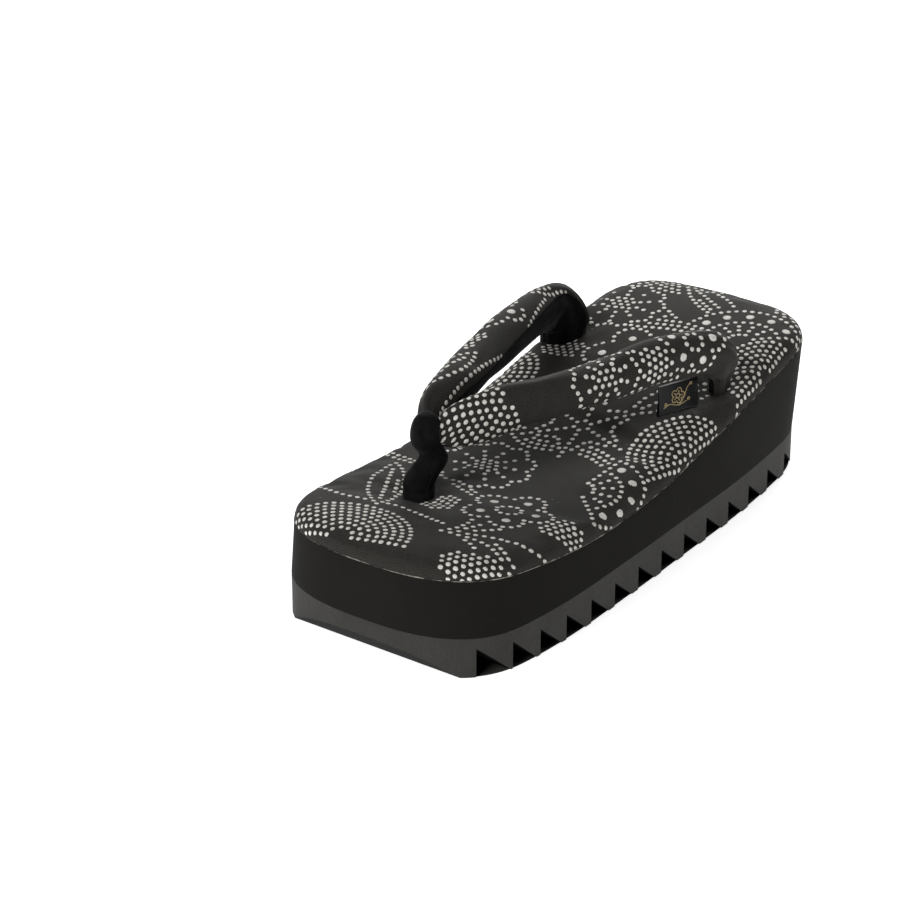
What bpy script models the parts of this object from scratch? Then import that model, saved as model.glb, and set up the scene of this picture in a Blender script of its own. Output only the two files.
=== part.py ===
"""Platform setta: a Japanese thong sandal, left shoe, modelled piece by piece.

Toe towards -Y, heel towards +Y, +X is the wearer's left, which is the outer side.
The origin is on the floor under the middle of the sole.  Tables are in millimetres.
"""
import math

import bpy
import bmesh
from mathutils import Vector

MM = 0.001
GAP = 0.3 * MM                    # clearance wherever two pieces meet

# ---- driving dimensions ---------------------------------------------------------
LENGTH = 245 * MM
OUTSOLE_TOP = 15.6 * MM
TOE_POWER = 2.7                   # superellipse powers: the heel is squarer than the toe
HEEL_POWER = 3.5
HEEL_OVERHANG = 1.1 * MM          # the wedge leans back over the heel

TOE_BEVEL_RISE = 8.9 * MM
TOE_BEVEL_RUN = 8.5 * MM
TOOTH_DEPTH = 9.4 * MM
TOE_DEEPER = 2.0 * MM             # how much deeper the first notch under the toe is cut
TOOTH_SLOPE = 12.0 * MM           # run of a tooth's sloping face
FIRST_NOTCH = -110.2 * MM
NOTCHES = 14
TOOTH_PITCH = 17.0 * MM           # pitch that the teeth settle to behind the forefoot
TOE_CROWDING = 4.2 * MM           # how much closer the first two teeth stand
CROWDING_FADE = 0.72

RIM_INSET = 6.0 * MM              # rounding of the padded footbed's edge
RIM_HEIGHT = 6.6 * MM
CROWN = 0.6 * MM

OUTLINE_POINTS = 72
BAND_SIDES = 14
BAND_STEPS = 3                    # sections between two rows of a strap table
POST_SIDES = 20

# Sole, heel to toe symmetric about X = 0: half widths before the ends are rounded.
# columns: station along the half length (-1 toe, +1 heel), at the joint, at the fabric
# edge, and height of the fabric edge above the floor
SOLE_ROWS = (
    (-1.00, 73.5, 70.3, 38.5),
    (-0.68, 59.5, 57.0, 34.8),
    (-0.36, 53.1, 51.0, 31.6),
    (0.00, 50.7, 49.2, 33.9),
    (0.36, 49.6, 49.1, 42.6),
    (0.68, 49.9, 50.8, 49.8),
    (1.00, 55.3, 59.2, 53.5),
)

# The band of the strap, from the nose of the V back to its socket in the footbed.
# columns: lower edge x, y, z, upper edge x, y, z, thickness
OUTER_ARM_ROWS = (
    (-8.6, -56.4, 55.0, -8.8, -57.4, 71.8, 8.4),
    (-2.4, -48.1, 55.1, -5.2, -49.9, 74.5, 11.8),
    (4.9, -36.4, 58.0, 0.3, -36.4, 76.0, 13.2),
    (11.6, -24.0, 59.6, 6.2, -22.8, 75.7, 13.6),
    (17.4, -10.6, 60.4, 11.8, -9.2, 76.1, 13.8),
    (23.5, 6.1, 61.0, 17.9, 7.9, 77.2, 13.8),
    (29.0, 22.8, 61.2, 24.2, 25.2, 78.3, 13.6),
    (33.8, 37.6, 60.6, 31.0, 41.8, 77.4, 13.2),
    (36.3, 44.2, 59.4, 35.7, 53.6, 74.2, 12.8),
    (38.2, 46.2, 58.2, 37.0, 61.4, 66.4, 11.8),
    (37.0, 49.2, 56.8, 36.8, 60.4, 59.6, 9.4),
)
INNER_ARM_ROWS = (
    (-19.0, -56.0, 55.4, -19.2, -57.0, 71.8, 8.4),
    (-21.7, -46.9, 54.8, -19.9, -49.9, 75.2, 12.4),
    (-26.2, -34.9, 56.8, -21.6, -35.7, 76.8, 14.2),
    (-29.3, -22.4, 58.0, -24.3, -22.4, 76.8, 15.0),
    (-31.8, -8.7, 59.4, -27.0, -8.7, 77.4, 15.2),
    (-35.2, 7.9, 59.4, -30.0, 8.5, 78.6, 15.2),
    (-38.2, 24.4, 59.0, -33.4, 25.8, 79.0, 14.8),
    (-39.3, 36.4, 58.7, -36.5, 42.6, 78.0, 14.0),
    (-41.4, 43.8, 58.2, -35.8, 54.2, 75.8, 13.2),
    (-44.6, 48.8, 57.4, -32.8, 61.6, 68.8, 12.4),
    (-45.8, 51.4, 55.8, -30.8, 65.4, 59.4, 11.0),
)

# The nose of the V, where the band folds back on itself inside the loop.
# columns: turn round the fold in degrees, lower edge z, upper edge z, thickness
NOSE_CENTRE = (-14.1, -61.0)      # millimetres
NOSE_RADIUS = 3.7                 # millimetres, to the middle of the band
NOSE_ROWS = (
    (0, 57.6, 67.8, 5.6),
    (45, 58.0, 67.2, 5.2),
    (90, 58.2, 67.0, 5.0),
    (135, 58.0, 67.2, 5.2),
    (180, 57.6, 67.8, 5.6),
)

# Sockets that hold the ends, cut down through the footbed into the midsole.
# columns: x, y, half length, half breadth, turn of the long axis in degrees
OUTER_SOCKET = (36.6, 55.2, 4.9, 3.7, 99.0)
INNER_SOCKET = (-38.6, 58.6, 8.9, 4.6, 38.0)
POST_SOCKET = (-13.0, -70.8, 6.0, 5.0, 90.0)
SOCKET_DEPTH = 9.0 * MM           # below the fabric edge
SOCKET_LIP = 8.2                  # millimetres above the fabric edge where an end narrows

# Velvet toe post above its socket, up to the top of the loop round the V.
# columns: height, x, y, half width across, half width along
POST_ROWS = (
    (41.8, -13.0, -70.8, 5.0, 6.0),
    (43.2, -13.0, -70.7, 6.6, 7.8),
    (46.0, -13.2, -69.4, 6.3, 7.4),
    (50.0, -13.8, -66.0, 5.6, 6.2),
    (53.4, -14.1, -63.0, 5.2, 5.8),
    (57.4, -14.2, -63.6, 5.9, 6.7),
    (62.6, -14.2, -64.2, 6.2, 7.0),
    (66.8, -14.2, -64.2, 5.6, 6.4),
    (69.4, -14.2, -64.1, 4.0, 4.8),
    (70.4, -14.2, -64.0, 1.5, 2.0),
)

# Ribbon tag under the outer arm: front and rear corner of its seam, then of its fold.
TAG_SEAM = ((29.4, 23.9, 60.0), (34.8, 41.6, 59.6))   # millimetres
TAG_FOLD = ((29.4, 23.0, 48.6), (38.6, 36.5, 50.2))
TAG_THICKNESS = 1.3 * MM
TAG_STEPS = 6

FINISHES = {
    "outsole": ((0.045, 0.045, 0.043), 0.75),
    "midsole": ((0.014, 0.014, 0.012), 0.85),
    "footbed": ((0.032, 0.032, 0.034), 0.90),
    "strap": ((0.032, 0.032, 0.034), 0.90),
    "toe_post": ((0.004, 0.004, 0.004), 1.00),
    "tag": ((0.006, 0.006, 0.006), 0.80),
}


# ---- small tools ----------------------------------------------------------------
def clear_scene():
    for thing in list(bpy.data.objects):
        bpy.data.objects.remove(thing, do_unlink=True)


def catmull_rom(before, start, end, after, t):
    """Value at t between start and end on a smooth curve through all four."""
    return 0.5 * (
        2 * start
        + (end - before) * t
        + (2 * before - 5 * start + 4 * end - after) * t ** 2
        + (3 * start - before - 3 * end + after) * t ** 3
    )


def between_rows(rows, index, t):
    """Every column of a table, t of the way from row index to the next."""
    before = rows[max(index - 1, 0)]
    start = rows[index]
    end = rows[index + 1]
    after = rows[min(index + 2, len(rows) - 1)]
    return [catmull_rom(*values, t) for values in zip(before, start, end, after)]


def sole_row(station):
    """Half width at the joint, half width at the fabric edge and edge height, in metres."""
    station = min(max(station, -1.0), 1.0)
    index = 0
    while index < len(SOLE_ROWS) - 2 and station > SOLE_ROWS[index + 1][0]:
        index += 1
    first = SOLE_ROWS[index][0]
    t = (station - first) / (SOLE_ROWS[index + 1][0] - first)
    _, joint, fabric, height = between_rows(SOLE_ROWS, index, t)
    return joint * MM, fabric * MM, height * MM


def edge_height(y):
    return sole_row(2 * y / LENGTH)[2]


def outline(column, inset=0.0, overhang=0.0):
    """Points round the sole, toe first and up the outer side, as (x, y) pairs."""
    points = []
    for step in range(OUTLINE_POINTS):
        angle = 2 * math.pi * step / OUTLINE_POINTS - math.pi / 2
        sine = math.sin(angle)
        cosine = math.cos(angle)
        power = 2 / (TOE_POWER if sine < 0 else HEEL_POWER)
        station = math.copysign(abs(sine) ** power, sine)
        half = sole_row(station)[column] - inset
        x = math.copysign(half * abs(cosine) ** power, cosine) if abs(cosine) > 1e-9 else 0.0
        y = station * (LENGTH / 2 - inset) + overhang * (1 + station) / 2
        points.append((x, y))
    return points


def lattice_cap(bm, ring, upwards):
    """Close a ring that is symmetric about the centre line with bars across it."""
    count = len(ring)
    for step in range(count // 2):
        right = (ring[step], ring[step + 1])
        left = (ring[(count - step - 1) % count], ring[(count - step) % count])
        corners = [right[0], right[1], left[0], left[1]]
        corners = list(dict.fromkeys(corners))
        bm.faces.new(corners if upwards else corners[::-1])


def bridge_rings(bm, lower, upper):
    """Wall between two rings that both run anticlockwise seen from above."""
    count = len(lower)
    for step in range(count):
        after = (step + 1) % count
        bm.faces.new((lower[step], lower[after], upper[after], upper[step]))


def finish_object(name, bm, sharp_degrees=40):
    mesh = bpy.data.meshes.new(name)
    bmesh.ops.recalc_face_normals(bm, faces=bm.faces[:])
    bm.to_mesh(mesh)
    bm.free()
    mesh.shade_smooth()
    mesh.set_sharp_from_angle(angle=math.radians(sharp_degrees))
    thing = bpy.data.objects.new(name, mesh)
    bpy.context.collection.objects.link(thing)
    return thing


def give_finish(thing):
    colour, roughness = FINISHES[thing.name]
    material = bpy.data.materials.new(thing.name)
    material.use_nodes = True
    shader = material.node_tree.nodes["Principled BSDF"]
    shader.inputs["Base Color"].default_value = (*colour, 1)
    shader.inputs["Roughness"].default_value = roughness
    shader.inputs["Metallic"].default_value = 0.0
    thing.data.materials.append(material)


def apply_boolean(thing, tool, operation):
    tool.hide_render = True
    tool.display_type = "WIRE"
    modifier = thing.modifiers.new(operation.title(), "BOOLEAN")
    modifier.operation = operation
    modifier.solver = "EXACT"
    modifier.object = tool


def ring_stack(name, rings, sharp_degrees=40):
    """A closed solid from rings given bottom to top, each a list of (x, y, z)."""
    bm = bmesh.new()
    loops = [[bm.verts.new(point) for point in ring] for ring in rings]
    for lower, upper in zip(loops, loops[1:]):
        bridge_rings(bm, lower, upper)
    lattice_cap(bm, loops[0], upwards=False)
    lattice_cap(bm, loops[-1], upwards=True)
    return finish_object(name, bm, sharp_degrees)


def oval(centre_x, centre_y, half_long, half_short, turn_degrees, count):
    turn = math.radians(turn_degrees)
    points = []
    for step in range(count):
        angle = 2 * math.pi * step / count
        along = half_long * math.cos(angle)
        across = half_short * math.sin(angle)
        x = centre_x + along * math.cos(turn) - across * math.sin(turn)
        y = centre_y + along * math.sin(turn) + across * math.cos(turn)
        points.append((x, y))
    return points


def socket_cutter(name, socket):
    """Oval plug, a gap wider than what goes into it, from above the footbed downwards."""
    x, y, half_long, half_short, turn = socket
    shape = oval(x * MM, y * MM, half_long * MM + GAP, half_short * MM + GAP, turn, POST_SIDES)
    floor = edge_height(y * MM) - SOCKET_DEPTH - GAP
    roof = edge_height(y * MM) + 4 * RIM_HEIGHT
    bm = bmesh.new()
    low = [bm.verts.new((px, py, floor)) for px, py in shape]
    high = [bm.verts.new((px, py, roof)) for px, py in shape]
    bridge_rings(bm, low, high)
    bm.faces.new(low[::-1])
    bm.faces.new(high)
    return finish_object(name, bm)


# ---- sole -----------------------------------------------------------------------
def tread_profile():
    """Side view of the outsole as (y, z), from the toe along the floor to the heel."""
    toe = -LENGTH / 2 - MM
    heel = LENGTH / 2 + MM
    bevel_end = -LENGTH / 2 + TOE_BEVEL_RUN
    slope = TOE_BEVEL_RISE / TOE_BEVEL_RUN
    profile = [(toe, OUTSOLE_TOP - GAP / 2)]
    profile.append((toe, (bevel_end - toe) * slope))
    profile.append((bevel_end, 0.0))
    notch = FIRST_NOTCH
    for index in range(NOTCHES):
        profile.append((notch, 0.0))
        near_toe = CROWDING_FADE ** index
        profile.append((notch, TOOTH_DEPTH + TOE_DEEPER * near_toe))
        profile.append((notch + TOOTH_SLOPE, 0.0))
        notch += TOOTH_PITCH - TOE_CROWDING * near_toe
    profile.append((heel, 0.0))
    profile.append((heel, OUTSOLE_TOP - GAP / 2))
    return profile


def make_outsole():
    """Saw-toothed rubber: the tread's side view, pushed through and trimmed to outline."""
    bm = bmesh.new()
    half = 60 * MM
    near = [bm.verts.new((half, y, z)) for y, z in tread_profile()]
    far = [bm.verts.new((-half, y, z)) for y, z in tread_profile()]
    bridge_rings(bm, near, far)
    bm.faces.new(near)
    bm.faces.new(far[::-1])
    outsole = finish_object("outsole", bm)
    shape = outline(0)
    below = [(x, y, -5 * MM) for x, y in shape]
    above = [(x, y, OUTSOLE_TOP + 5 * MM) for x, y in shape]
    apply_boolean(outsole, ring_stack("outline_guide", [below, above]), "INTERSECT")
    return outsole


def make_midsole():
    """Foam wedge: flat below, and scooped from the toe up to the heel above."""
    bottom = [(x, y, OUTSOLE_TOP + GAP / 2) for x, y in outline(0)]
    top = [(x, y, edge_height(y) - GAP / 2) for x, y in outline(1, 0.0, HEEL_OVERHANG)]
    return ring_stack("midsole", [bottom, top])


def make_footbed():
    """Padded insole: its edge rolls up in a quarter ellipse and its top is crowned."""
    rings = []
    for degrees in (0, 15, 32, 50, 70, 90):
        inset = RIM_INSET * (1 - math.cos(math.radians(degrees)))
        rise = RIM_HEIGHT * math.sin(math.radians(degrees))
        rings.append((inset, rise))
    rings.append((16 * MM, RIM_HEIGHT + 0.7 * CROWN))
    rings.append((32 * MM, RIM_HEIGHT + CROWN))
    solid = []
    for inset, rise in rings:
        shape = outline(1, inset, HEEL_OVERHANG)
        solid.append([(x, y, edge_height(y) + GAP / 2 + rise) for x, y in shape])
    return ring_stack("footbed", solid, sharp_degrees=50)


# ---- strap ----------------------------------------------------------------------
def socket_rows(socket):
    """Strap end standing in its socket, top first, as rows like those of the arm tables."""
    x, y, half_long, half_short, turn = socket
    reach_x = half_long * math.cos(math.radians(turn))
    reach_y = half_long * math.sin(math.radians(turn))
    edge = edge_height(y * MM) / MM
    foot = edge - SOCKET_DEPTH / MM
    rows = []
    for height in (edge + SOCKET_LIP, (edge + foot) / 2, foot):
        low_edge = (x - reach_x, y - reach_y, height)
        high_edge = (x + reach_x, y + reach_y, height)
        rows.append((*low_edge, *high_edge, 2 * half_short))
    return rows


def nose_rows():
    """Rows round the fold of the band, from the outer arm to the inner arm."""
    rows = []
    for degrees, low, high, thickness in NOSE_ROWS:
        x = NOSE_CENTRE[0] + NOSE_RADIUS * math.cos(math.radians(degrees))
        y = NOSE_CENTRE[1] - NOSE_RADIUS * math.sin(math.radians(degrees))
        rows.append((x, y, low, x, y, high, thickness))
    return rows


def strap_rows():
    """Whole band, from the outer socket round the nose of the V to the inner socket."""
    outer = list(OUTER_ARM_ROWS) + socket_rows(OUTER_SOCKET)
    inner = list(INNER_ARM_ROWS) + socket_rows(INNER_SOCKET)
    return outer[::-1] + nose_rows() + inner


def band_sections():
    """Middle, half-width vector and half thickness of every section of the band."""
    rows = strap_rows()
    samples = []
    for index in range(len(rows) - 1):
        for step in range(BAND_STEPS):
            samples.append(between_rows(rows, index, step / BAND_STEPS))
    samples.append(list(rows[-1]))
    sections = []
    for row in samples:
        low = Vector(row[0:3]) * MM
        high = Vector(row[3:6]) * MM
        sections.append(((low + high) / 2, (high - low) / 2, row[6] / 2 * MM))
    return sections


def band_solid(name, sections, swell=0.0):
    """Sweep an oval along the band's sections."""
    bm = bmesh.new()
    rings = []
    for index, (middle, reach, half_thick) in enumerate(sections):
        ahead = sections[min(index + 1, len(sections) - 1)][0]
        behind = sections[max(index - 1, 0)][0]
        along = (ahead - behind).normalized()
        width_way = reach.normalized()
        thick_way = along.cross(width_way).normalized()
        half_width = reach.length + swell
        ring = []
        for step in range(BAND_SIDES):
            angle = 2 * math.pi * step / BAND_SIDES
            offset = width_way * (half_width * math.cos(angle))
            offset += thick_way * ((half_thick + swell) * math.sin(angle))
            ring.append(bm.verts.new(middle + offset))
        rings.append(ring)
    for first, second in zip(rings, rings[1:]):
        bridge_rings(bm, first, second)
    bm.faces.new(rings[0][::-1])
    bm.faces.new(rings[-1])
    return finish_object(name, bm, sharp_degrees=60)


def make_strap():
    return band_solid("strap", band_sections())


def make_toe_post():
    """Velvet stem and loop: an oval column, cut out where the nose of the V runs through."""
    x, y, half_y, half_x, _ = POST_SOCKET
    foot = (edge_height(y * MM) - SOCKET_DEPTH) / MM
    rows = [(foot, x, y, half_x, half_y)] + list(POST_ROWS)
    bm = bmesh.new()
    rings = []
    for height, x, y, half_x, half_y in rows:
        shape = oval(x * MM, y * MM, half_x * MM, half_y * MM, 0.0, POST_SIDES)
        rings.append([bm.verts.new((px, py, height * MM)) for px, py in shape])
    for lower, upper in zip(rings, rings[1:]):
        bridge_rings(bm, lower, upper)
    bm.faces.new(rings[0][::-1])
    bm.faces.new(rings[-1])
    post = finish_object("toe_post", bm, sharp_degrees=60)
    sections = band_sections()
    nose = strap_rows().index(nose_rows()[0]) * BAND_STEPS
    reach = 2 * BAND_STEPS
    around = sections[nose - reach:nose + (len(NOSE_ROWS) - 1) * BAND_STEPS + reach + 1]
    apply_boolean(post, band_solid("nose_cutter", around, swell=1.2 * GAP), "DIFFERENCE")
    return post


def make_tag():
    """Folded ribbon tag: it hangs from the arm's lower edge and its fold stands out a little."""
    seam = [Vector(corner) * MM for corner in TAG_SEAM]
    fold = [Vector(corner) * MM for corner in TAG_FOLD]
    middle = (seam[0] + seam[1] + fold[0] + fold[1]) / 4
    bm = bmesh.new()
    rings = []
    for step in range(TAG_STEPS + 1):
        share = step / TAG_STEPS
        front = seam[0].lerp(fold[0], share)
        rear = seam[1].lerp(fold[1], share)
        along = (rear - front).normalized()
        down = (fold[0] - seam[0] + fold[1] - seam[1]).normalized()
        out = along.cross(down).normalized() * TAG_THICKNESS / 2
        corners = (front - out, rear - out, rear + out, front + out)
        rings.append([bm.verts.new(corner - middle) for corner in corners])
    for upper, lower in zip(rings, rings[1:]):
        bridge_rings(bm, lower, upper)
    bm.faces.new(rings[0])
    bm.faces.new(rings[-1][::-1])
    tag = finish_object("tag", bm)
    tag.location = middle
    return tag


def build():
    clear_scene()
    pieces = [make_outsole(), make_midsole(), make_footbed()]
    pieces += [make_strap(), make_toe_post(), make_tag()]
    for label, socket in (("outer", OUTER_SOCKET), ("inner", INNER_SOCKET), ("post", POST_SOCKET)):
        cutter = socket_cutter(label + "_socket_cutter", socket)
        apply_boolean(pieces[1], cutter, "DIFFERENCE")
        apply_boolean(pieces[2], cutter, "DIFFERENCE")
    for piece in pieces:
        give_finish(piece)


build()
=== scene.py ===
# %% [markdown]
# # A platform setta in cloth, velvet, foam and rubber
# A setta is a Japanese thong sandal. This one stands on a foam wedge with a saw-toothed
# rubber tread. The CAD model fixes where every piece is; this lesson dresses each piece
# in the surface that a shoemaker would give it, one step at a time.

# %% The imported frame
import math

import bmesh
import bpy
import numpy as np
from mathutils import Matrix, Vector


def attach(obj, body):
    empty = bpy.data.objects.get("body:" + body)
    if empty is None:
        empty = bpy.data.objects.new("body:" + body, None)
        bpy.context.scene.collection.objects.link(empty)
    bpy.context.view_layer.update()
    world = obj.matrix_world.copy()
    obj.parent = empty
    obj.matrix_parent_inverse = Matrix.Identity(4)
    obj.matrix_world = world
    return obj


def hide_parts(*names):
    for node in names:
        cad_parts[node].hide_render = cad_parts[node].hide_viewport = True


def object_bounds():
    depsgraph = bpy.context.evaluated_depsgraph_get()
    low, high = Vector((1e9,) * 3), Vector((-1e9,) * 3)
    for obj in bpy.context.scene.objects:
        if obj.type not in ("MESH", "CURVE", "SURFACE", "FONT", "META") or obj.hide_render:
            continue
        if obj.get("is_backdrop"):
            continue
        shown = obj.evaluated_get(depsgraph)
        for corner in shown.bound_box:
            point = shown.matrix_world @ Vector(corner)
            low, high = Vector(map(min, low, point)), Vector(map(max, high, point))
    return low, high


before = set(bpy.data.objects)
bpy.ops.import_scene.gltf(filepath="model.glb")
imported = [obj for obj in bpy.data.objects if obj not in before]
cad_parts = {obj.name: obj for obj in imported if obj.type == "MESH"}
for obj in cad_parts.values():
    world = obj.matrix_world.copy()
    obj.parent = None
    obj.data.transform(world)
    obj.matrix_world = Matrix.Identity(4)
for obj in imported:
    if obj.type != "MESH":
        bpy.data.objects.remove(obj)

cad_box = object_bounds()
print("CAD nodes:", ", ".join(sorted(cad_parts)))

# %% [markdown]
# ## Small tools
# Everything on the sandal is measured in millimetres, while Blender works in metres, and
# colours are written as the hex codes of a colour chart, while a renderer wants light
# energies. Two helpers take care of that. The third adds a node to a tree with its
# settings and its links in one readable line, so each material stays a short recipe.
# The others start a Geometry Nodes tree, and put a mesh, a lamp or a camera in the scene.

# %% Units, colours, nodes and objects
MM = 0.001


def linear(code, alpha=1.0):
    """A chart colour such as "#36373A" as the light energies a shader works with."""
    channels = [int(code[k:k + 2], 16) / 255 for k in (1, 3, 5)]
    energies = [c / 12.92 if c <= 0.04045 else ((c + 0.055) / 1.055) ** 2.4 for c in channels]
    return (*energies, alpha)


def add_node(tree, kind, inputs=None, **settings):
    """Add a node; an input is given as a value or as the output that feeds it."""
    made = tree.nodes.new(kind)
    for name, value in settings.items():
        setattr(made, name, value)
    for key, value in (inputs or {}).items():
        if isinstance(value, bpy.types.NodeSocket):
            tree.links.new(value, made.inputs[key])
        else:
            made.inputs[key].default_value = value
    return made


def new_tree(name, kinds):
    """A Geometry Nodes tree that has inputs of the given names and kinds, and their node."""
    tree = bpy.data.node_groups.new(name, "GeometryNodeTree")
    tree.interface.new_socket("Geometry", in_out="OUTPUT", socket_type="NodeSocketGeometry")
    for label, kind in kinds.items():
        tree.interface.new_socket(label, in_out="INPUT", socket_type="NodeSocket" + kind)
    return tree, add_node(tree, "NodeGroupInput")


def placed(name, data):
    """An object for a mesh, a lamp or a camera, put in the scene."""
    thing = bpy.data.objects.new(name, data)
    bpy.context.scene.collection.objects.link(thing)
    return thing


def discard(*things):
    """Take objects that were only needed on the way out of the scene."""
    for thing in things:
        bpy.data.objects.remove(thing, do_unlink=True)


# %% [markdown]
# ## Smooth curves from short tables
# A last maker keeps a few measured sections and fairs a smooth line through them. The
# sole and the strap are both kept like that here: a row for each section, and a
# Catmull-Rom curve, which passes through every row, for all that lies between.

# %% Fairing a table
def faired(rows, index, t):
    """Columns of a table, t of the way from row index to the next."""
    last = len(rows) - 1
    before = rows[np.maximum(index - 1, 0)]
    start = rows[index]
    end = rows[index + 1]
    after = rows[np.minimum(index + 2, last)]
    t = t[:, None]
    return 0.5 * (
        2 * start
        + (end - before) * t
        + (2 * before - 5 * start + 4 * end - after) * t ** 2
        + (3 * start - before - 3 * end + after) * t ** 3
    )


def read_table(rows, place):
    """A faired table read at places along its first column."""
    rows = np.asarray(rows, float)
    place = np.clip(np.asarray(place, float), rows[0, 0], rows[-1, 0])
    index = np.clip(np.searchsorted(rows[1:, 0], place, side="left"), 0, len(rows) - 2)
    t = (place - rows[index, 0]) / (rows[index + 1, 0] - rows[index, 0])
    return faired(rows, index, t)


def read_rows(rows, place):
    """A faired table read at places counted in rows, from 0 for its first row."""
    index = np.minimum(place.astype(int), len(rows) - 2)
    return faired(rows, index, place - index)


# %% The sole's sections
LENGTH = 245 * MM
OUTSOLE_TOP = 15.6 * MM
TOE_POWER = 2.7
HEEL_POWER = 3.5
HEEL_OVERHANG = 1.1 * MM
JOINT_LINE = 0.02 * MM       # the layers are glued and sanded flush, with no gap to see
# columns: station from toe (-1) to heel (+1), half width at the joint of foam and rubber,
# half width at the cloth's edge, height of the cloth's edge; millimetres
SOLE_ROWS = (
    (-1.00, 73.5, 70.3, 38.5),
    (-0.68, 59.5, 57.0, 34.8),
    (-0.36, 53.1, 51.0, 31.6),
    (0.00, 50.7, 49.2, 33.9),
    (0.36, 49.6, 49.1, 42.6),
    (0.68, 49.9, 50.8, 49.8),
    (1.00, 55.3, 59.2, 53.5),
)
JOINT, CLOTH, EDGE_HEIGHT = 1, 2, 3
FINE_STEPS = 16000


def edge_height(y):
    """Height of the cloth's edge at places along the sole, in metres."""
    return read_table(SOLE_ROWS, np.clip(2 * np.asarray(y) / LENGTH, -1, 1))[:, EDGE_HEIGHT] * MM


def ends_rounded(angle):
    """Station and share of the half width on an outline with squarish round ends."""
    sine = np.sin(angle)
    cosine = np.cos(angle)
    power = np.where(sine < 0, 2 / TOE_POWER, 2 / HEEL_POWER)
    station = np.sign(sine) * np.abs(sine) ** power
    share = np.sign(cosine) * np.abs(cosine) ** power
    return station, share


def outline_at(angle, column, inset=0.0, overhang=0.0):
    """Points of the sole's outline, drawn in by inset, as an array of (x, y)."""
    station, share = ends_rounded(angle)
    half = read_table(SOLE_ROWS, station)[:, column] * MM - inset
    y = station * (LENGTH / 2 - inset) + overhang * (1 + station) / 2
    return np.column_stack([half * share, y])


def even_angles(count):
    """Angles that space an outline's points evenly, from the toe round by the outer side."""
    fine = np.linspace(0, 2 * math.pi, FINE_STEPS + 1) - math.pi / 2
    line = outline_at(fine, CLOTH)
    travelled = np.concatenate([[0], np.cumsum(np.hypot(*np.diff(line, axis=0).T))])
    # the two halves mirror each other, so the outer one is solved and turned over
    half = np.interp(np.linspace(0, travelled[-1] / 2, count // 2 + 1), travelled, fine)
    return np.concatenate([half, math.pi - half[-2:0:-1]])


print("outline:", round(LENGTH / MM), "mm long")

# %% [markdown]
# ## From rings to a closed mesh
# The foam wedge and the padded footbed are both stacks of rings that follow the sole's
# outline. A grid modifier could not round their edges so evenly, so the rings are joined
# by hand: walls between neighbours, and bars from side to side that close both ends. The
# bars are cut into short quads, so that a cap can carry dimples and a print.

# %% Lofting a stack of rings
def ring_numbers(rings, count):
    """The vertex numbers of each ring in a stack of rings of count points."""
    return [list(range(k * count, (k + 1) * count)) for k in range(rings)]


def ring_walls(numbers):
    """Quads between each ring of vertex numbers and the next."""
    faces = []
    for lower, upper in zip(numbers, numbers[1:]):
        for k in range(len(lower)):
            after = (k + 1) % len(lower)
            faces.append([lower[k], lower[after], upper[after], upper[k]])
    return faces


def barred_cap(points, ring, across):
    """Quads from the outer to the inner side of a mirrored ring of vertex numbers."""
    half = len(ring) // 2
    rows = []
    for step in range(half + 1):
        right, left = ring[step], ring[-step]
        row = [right]
        for k in range(1, across if 0 < step < half else 0):
            share = k / across
            row.append(len(points))
            points.append((1 - share) * points[right] + share * points[left])
        if 0 < step < half:
            row.append(left)
        rows.append(row)
    faces = []
    for first, second in zip(rows, rows[1:]):
        for k in range(across):
            corners = [first[min(k, len(first) - 1)], first[min(k + 1, len(first) - 1)],
                       second[min(k + 1, len(second) - 1)], second[min(k, len(second) - 1)]]
            faces.append(list(dict.fromkeys(corners)))
    return faces


def joined_rings(rings, across):
    """Points and faces of the closed form through rings given from the bottom up."""
    points = [point for ring in rings for point in ring]
    numbers = ring_numbers(len(rings), len(rings[0]))
    faces = ring_walls(numbers)
    faces += barred_cap(points, numbers[0], across)
    faces += barred_cap(points, numbers[-1], across)
    return np.array(points), faces


def new_piece(name, points, faces, material=None, crisp_degrees=40):
    """A mesh object whose place is in its mesh, with its faces turned outwards."""
    mesh = bpy.data.meshes.new(name)
    mesh.from_pydata([tuple(p) for p in points], [], [list(f) for f in faces])
    skin = bmesh.new()
    skin.from_mesh(mesh)
    bmesh.ops.recalc_face_normals(skin, faces=skin.faces[:])
    skin.to_mesh(mesh)
    skin.free()
    mesh.shade_smooth()
    mesh.set_sharp_from_angle(angle=math.radians(crisp_degrees))
    if material:
        mesh.materials.append(material)
    return placed(name, mesh)


def drawn_line(name, points):
    """A closed line through points, for a tree to work on."""
    count = len(points)
    mesh = bpy.data.meshes.new(name)
    mesh.from_pydata(points, [(k, (k + 1) % count) for k in range(count)], [])
    return placed(name, mesh)


def lay_flat(piece, laid):
    """Keep where each point of a cloth lay on the table, in metres, as the piece's UV map."""
    layer = piece.data.uv_layers.new(name="cloth")
    loops = np.zeros(len(piece.data.loops), int)
    piece.data.loops.foreach_get("vertex_index", loops)
    layer.data.foreach_set("uv", laid[loops].ravel())


# %% [markdown]
# ## Stuffing
# A maker stuffs the footbed and the strap until the cloth is full, and it puckers wherever
# it is sewn down. Cloth simulation does the same: each form is closed, a little slack is
# given to its cloth, air pressure pushes it out, and the sewn points stay where they are.
# Only how far each point went is kept, up to a limit, so the cloth's flat shape, on which
# its print is laid out, stays known.

# %% Stuffing a closed form
STUFFING_FRAMES = 20
STUFFING_PRESSURE = 4.0
LEAST_HOLD = 0.02            # a point that is sewn less than this is free


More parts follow.
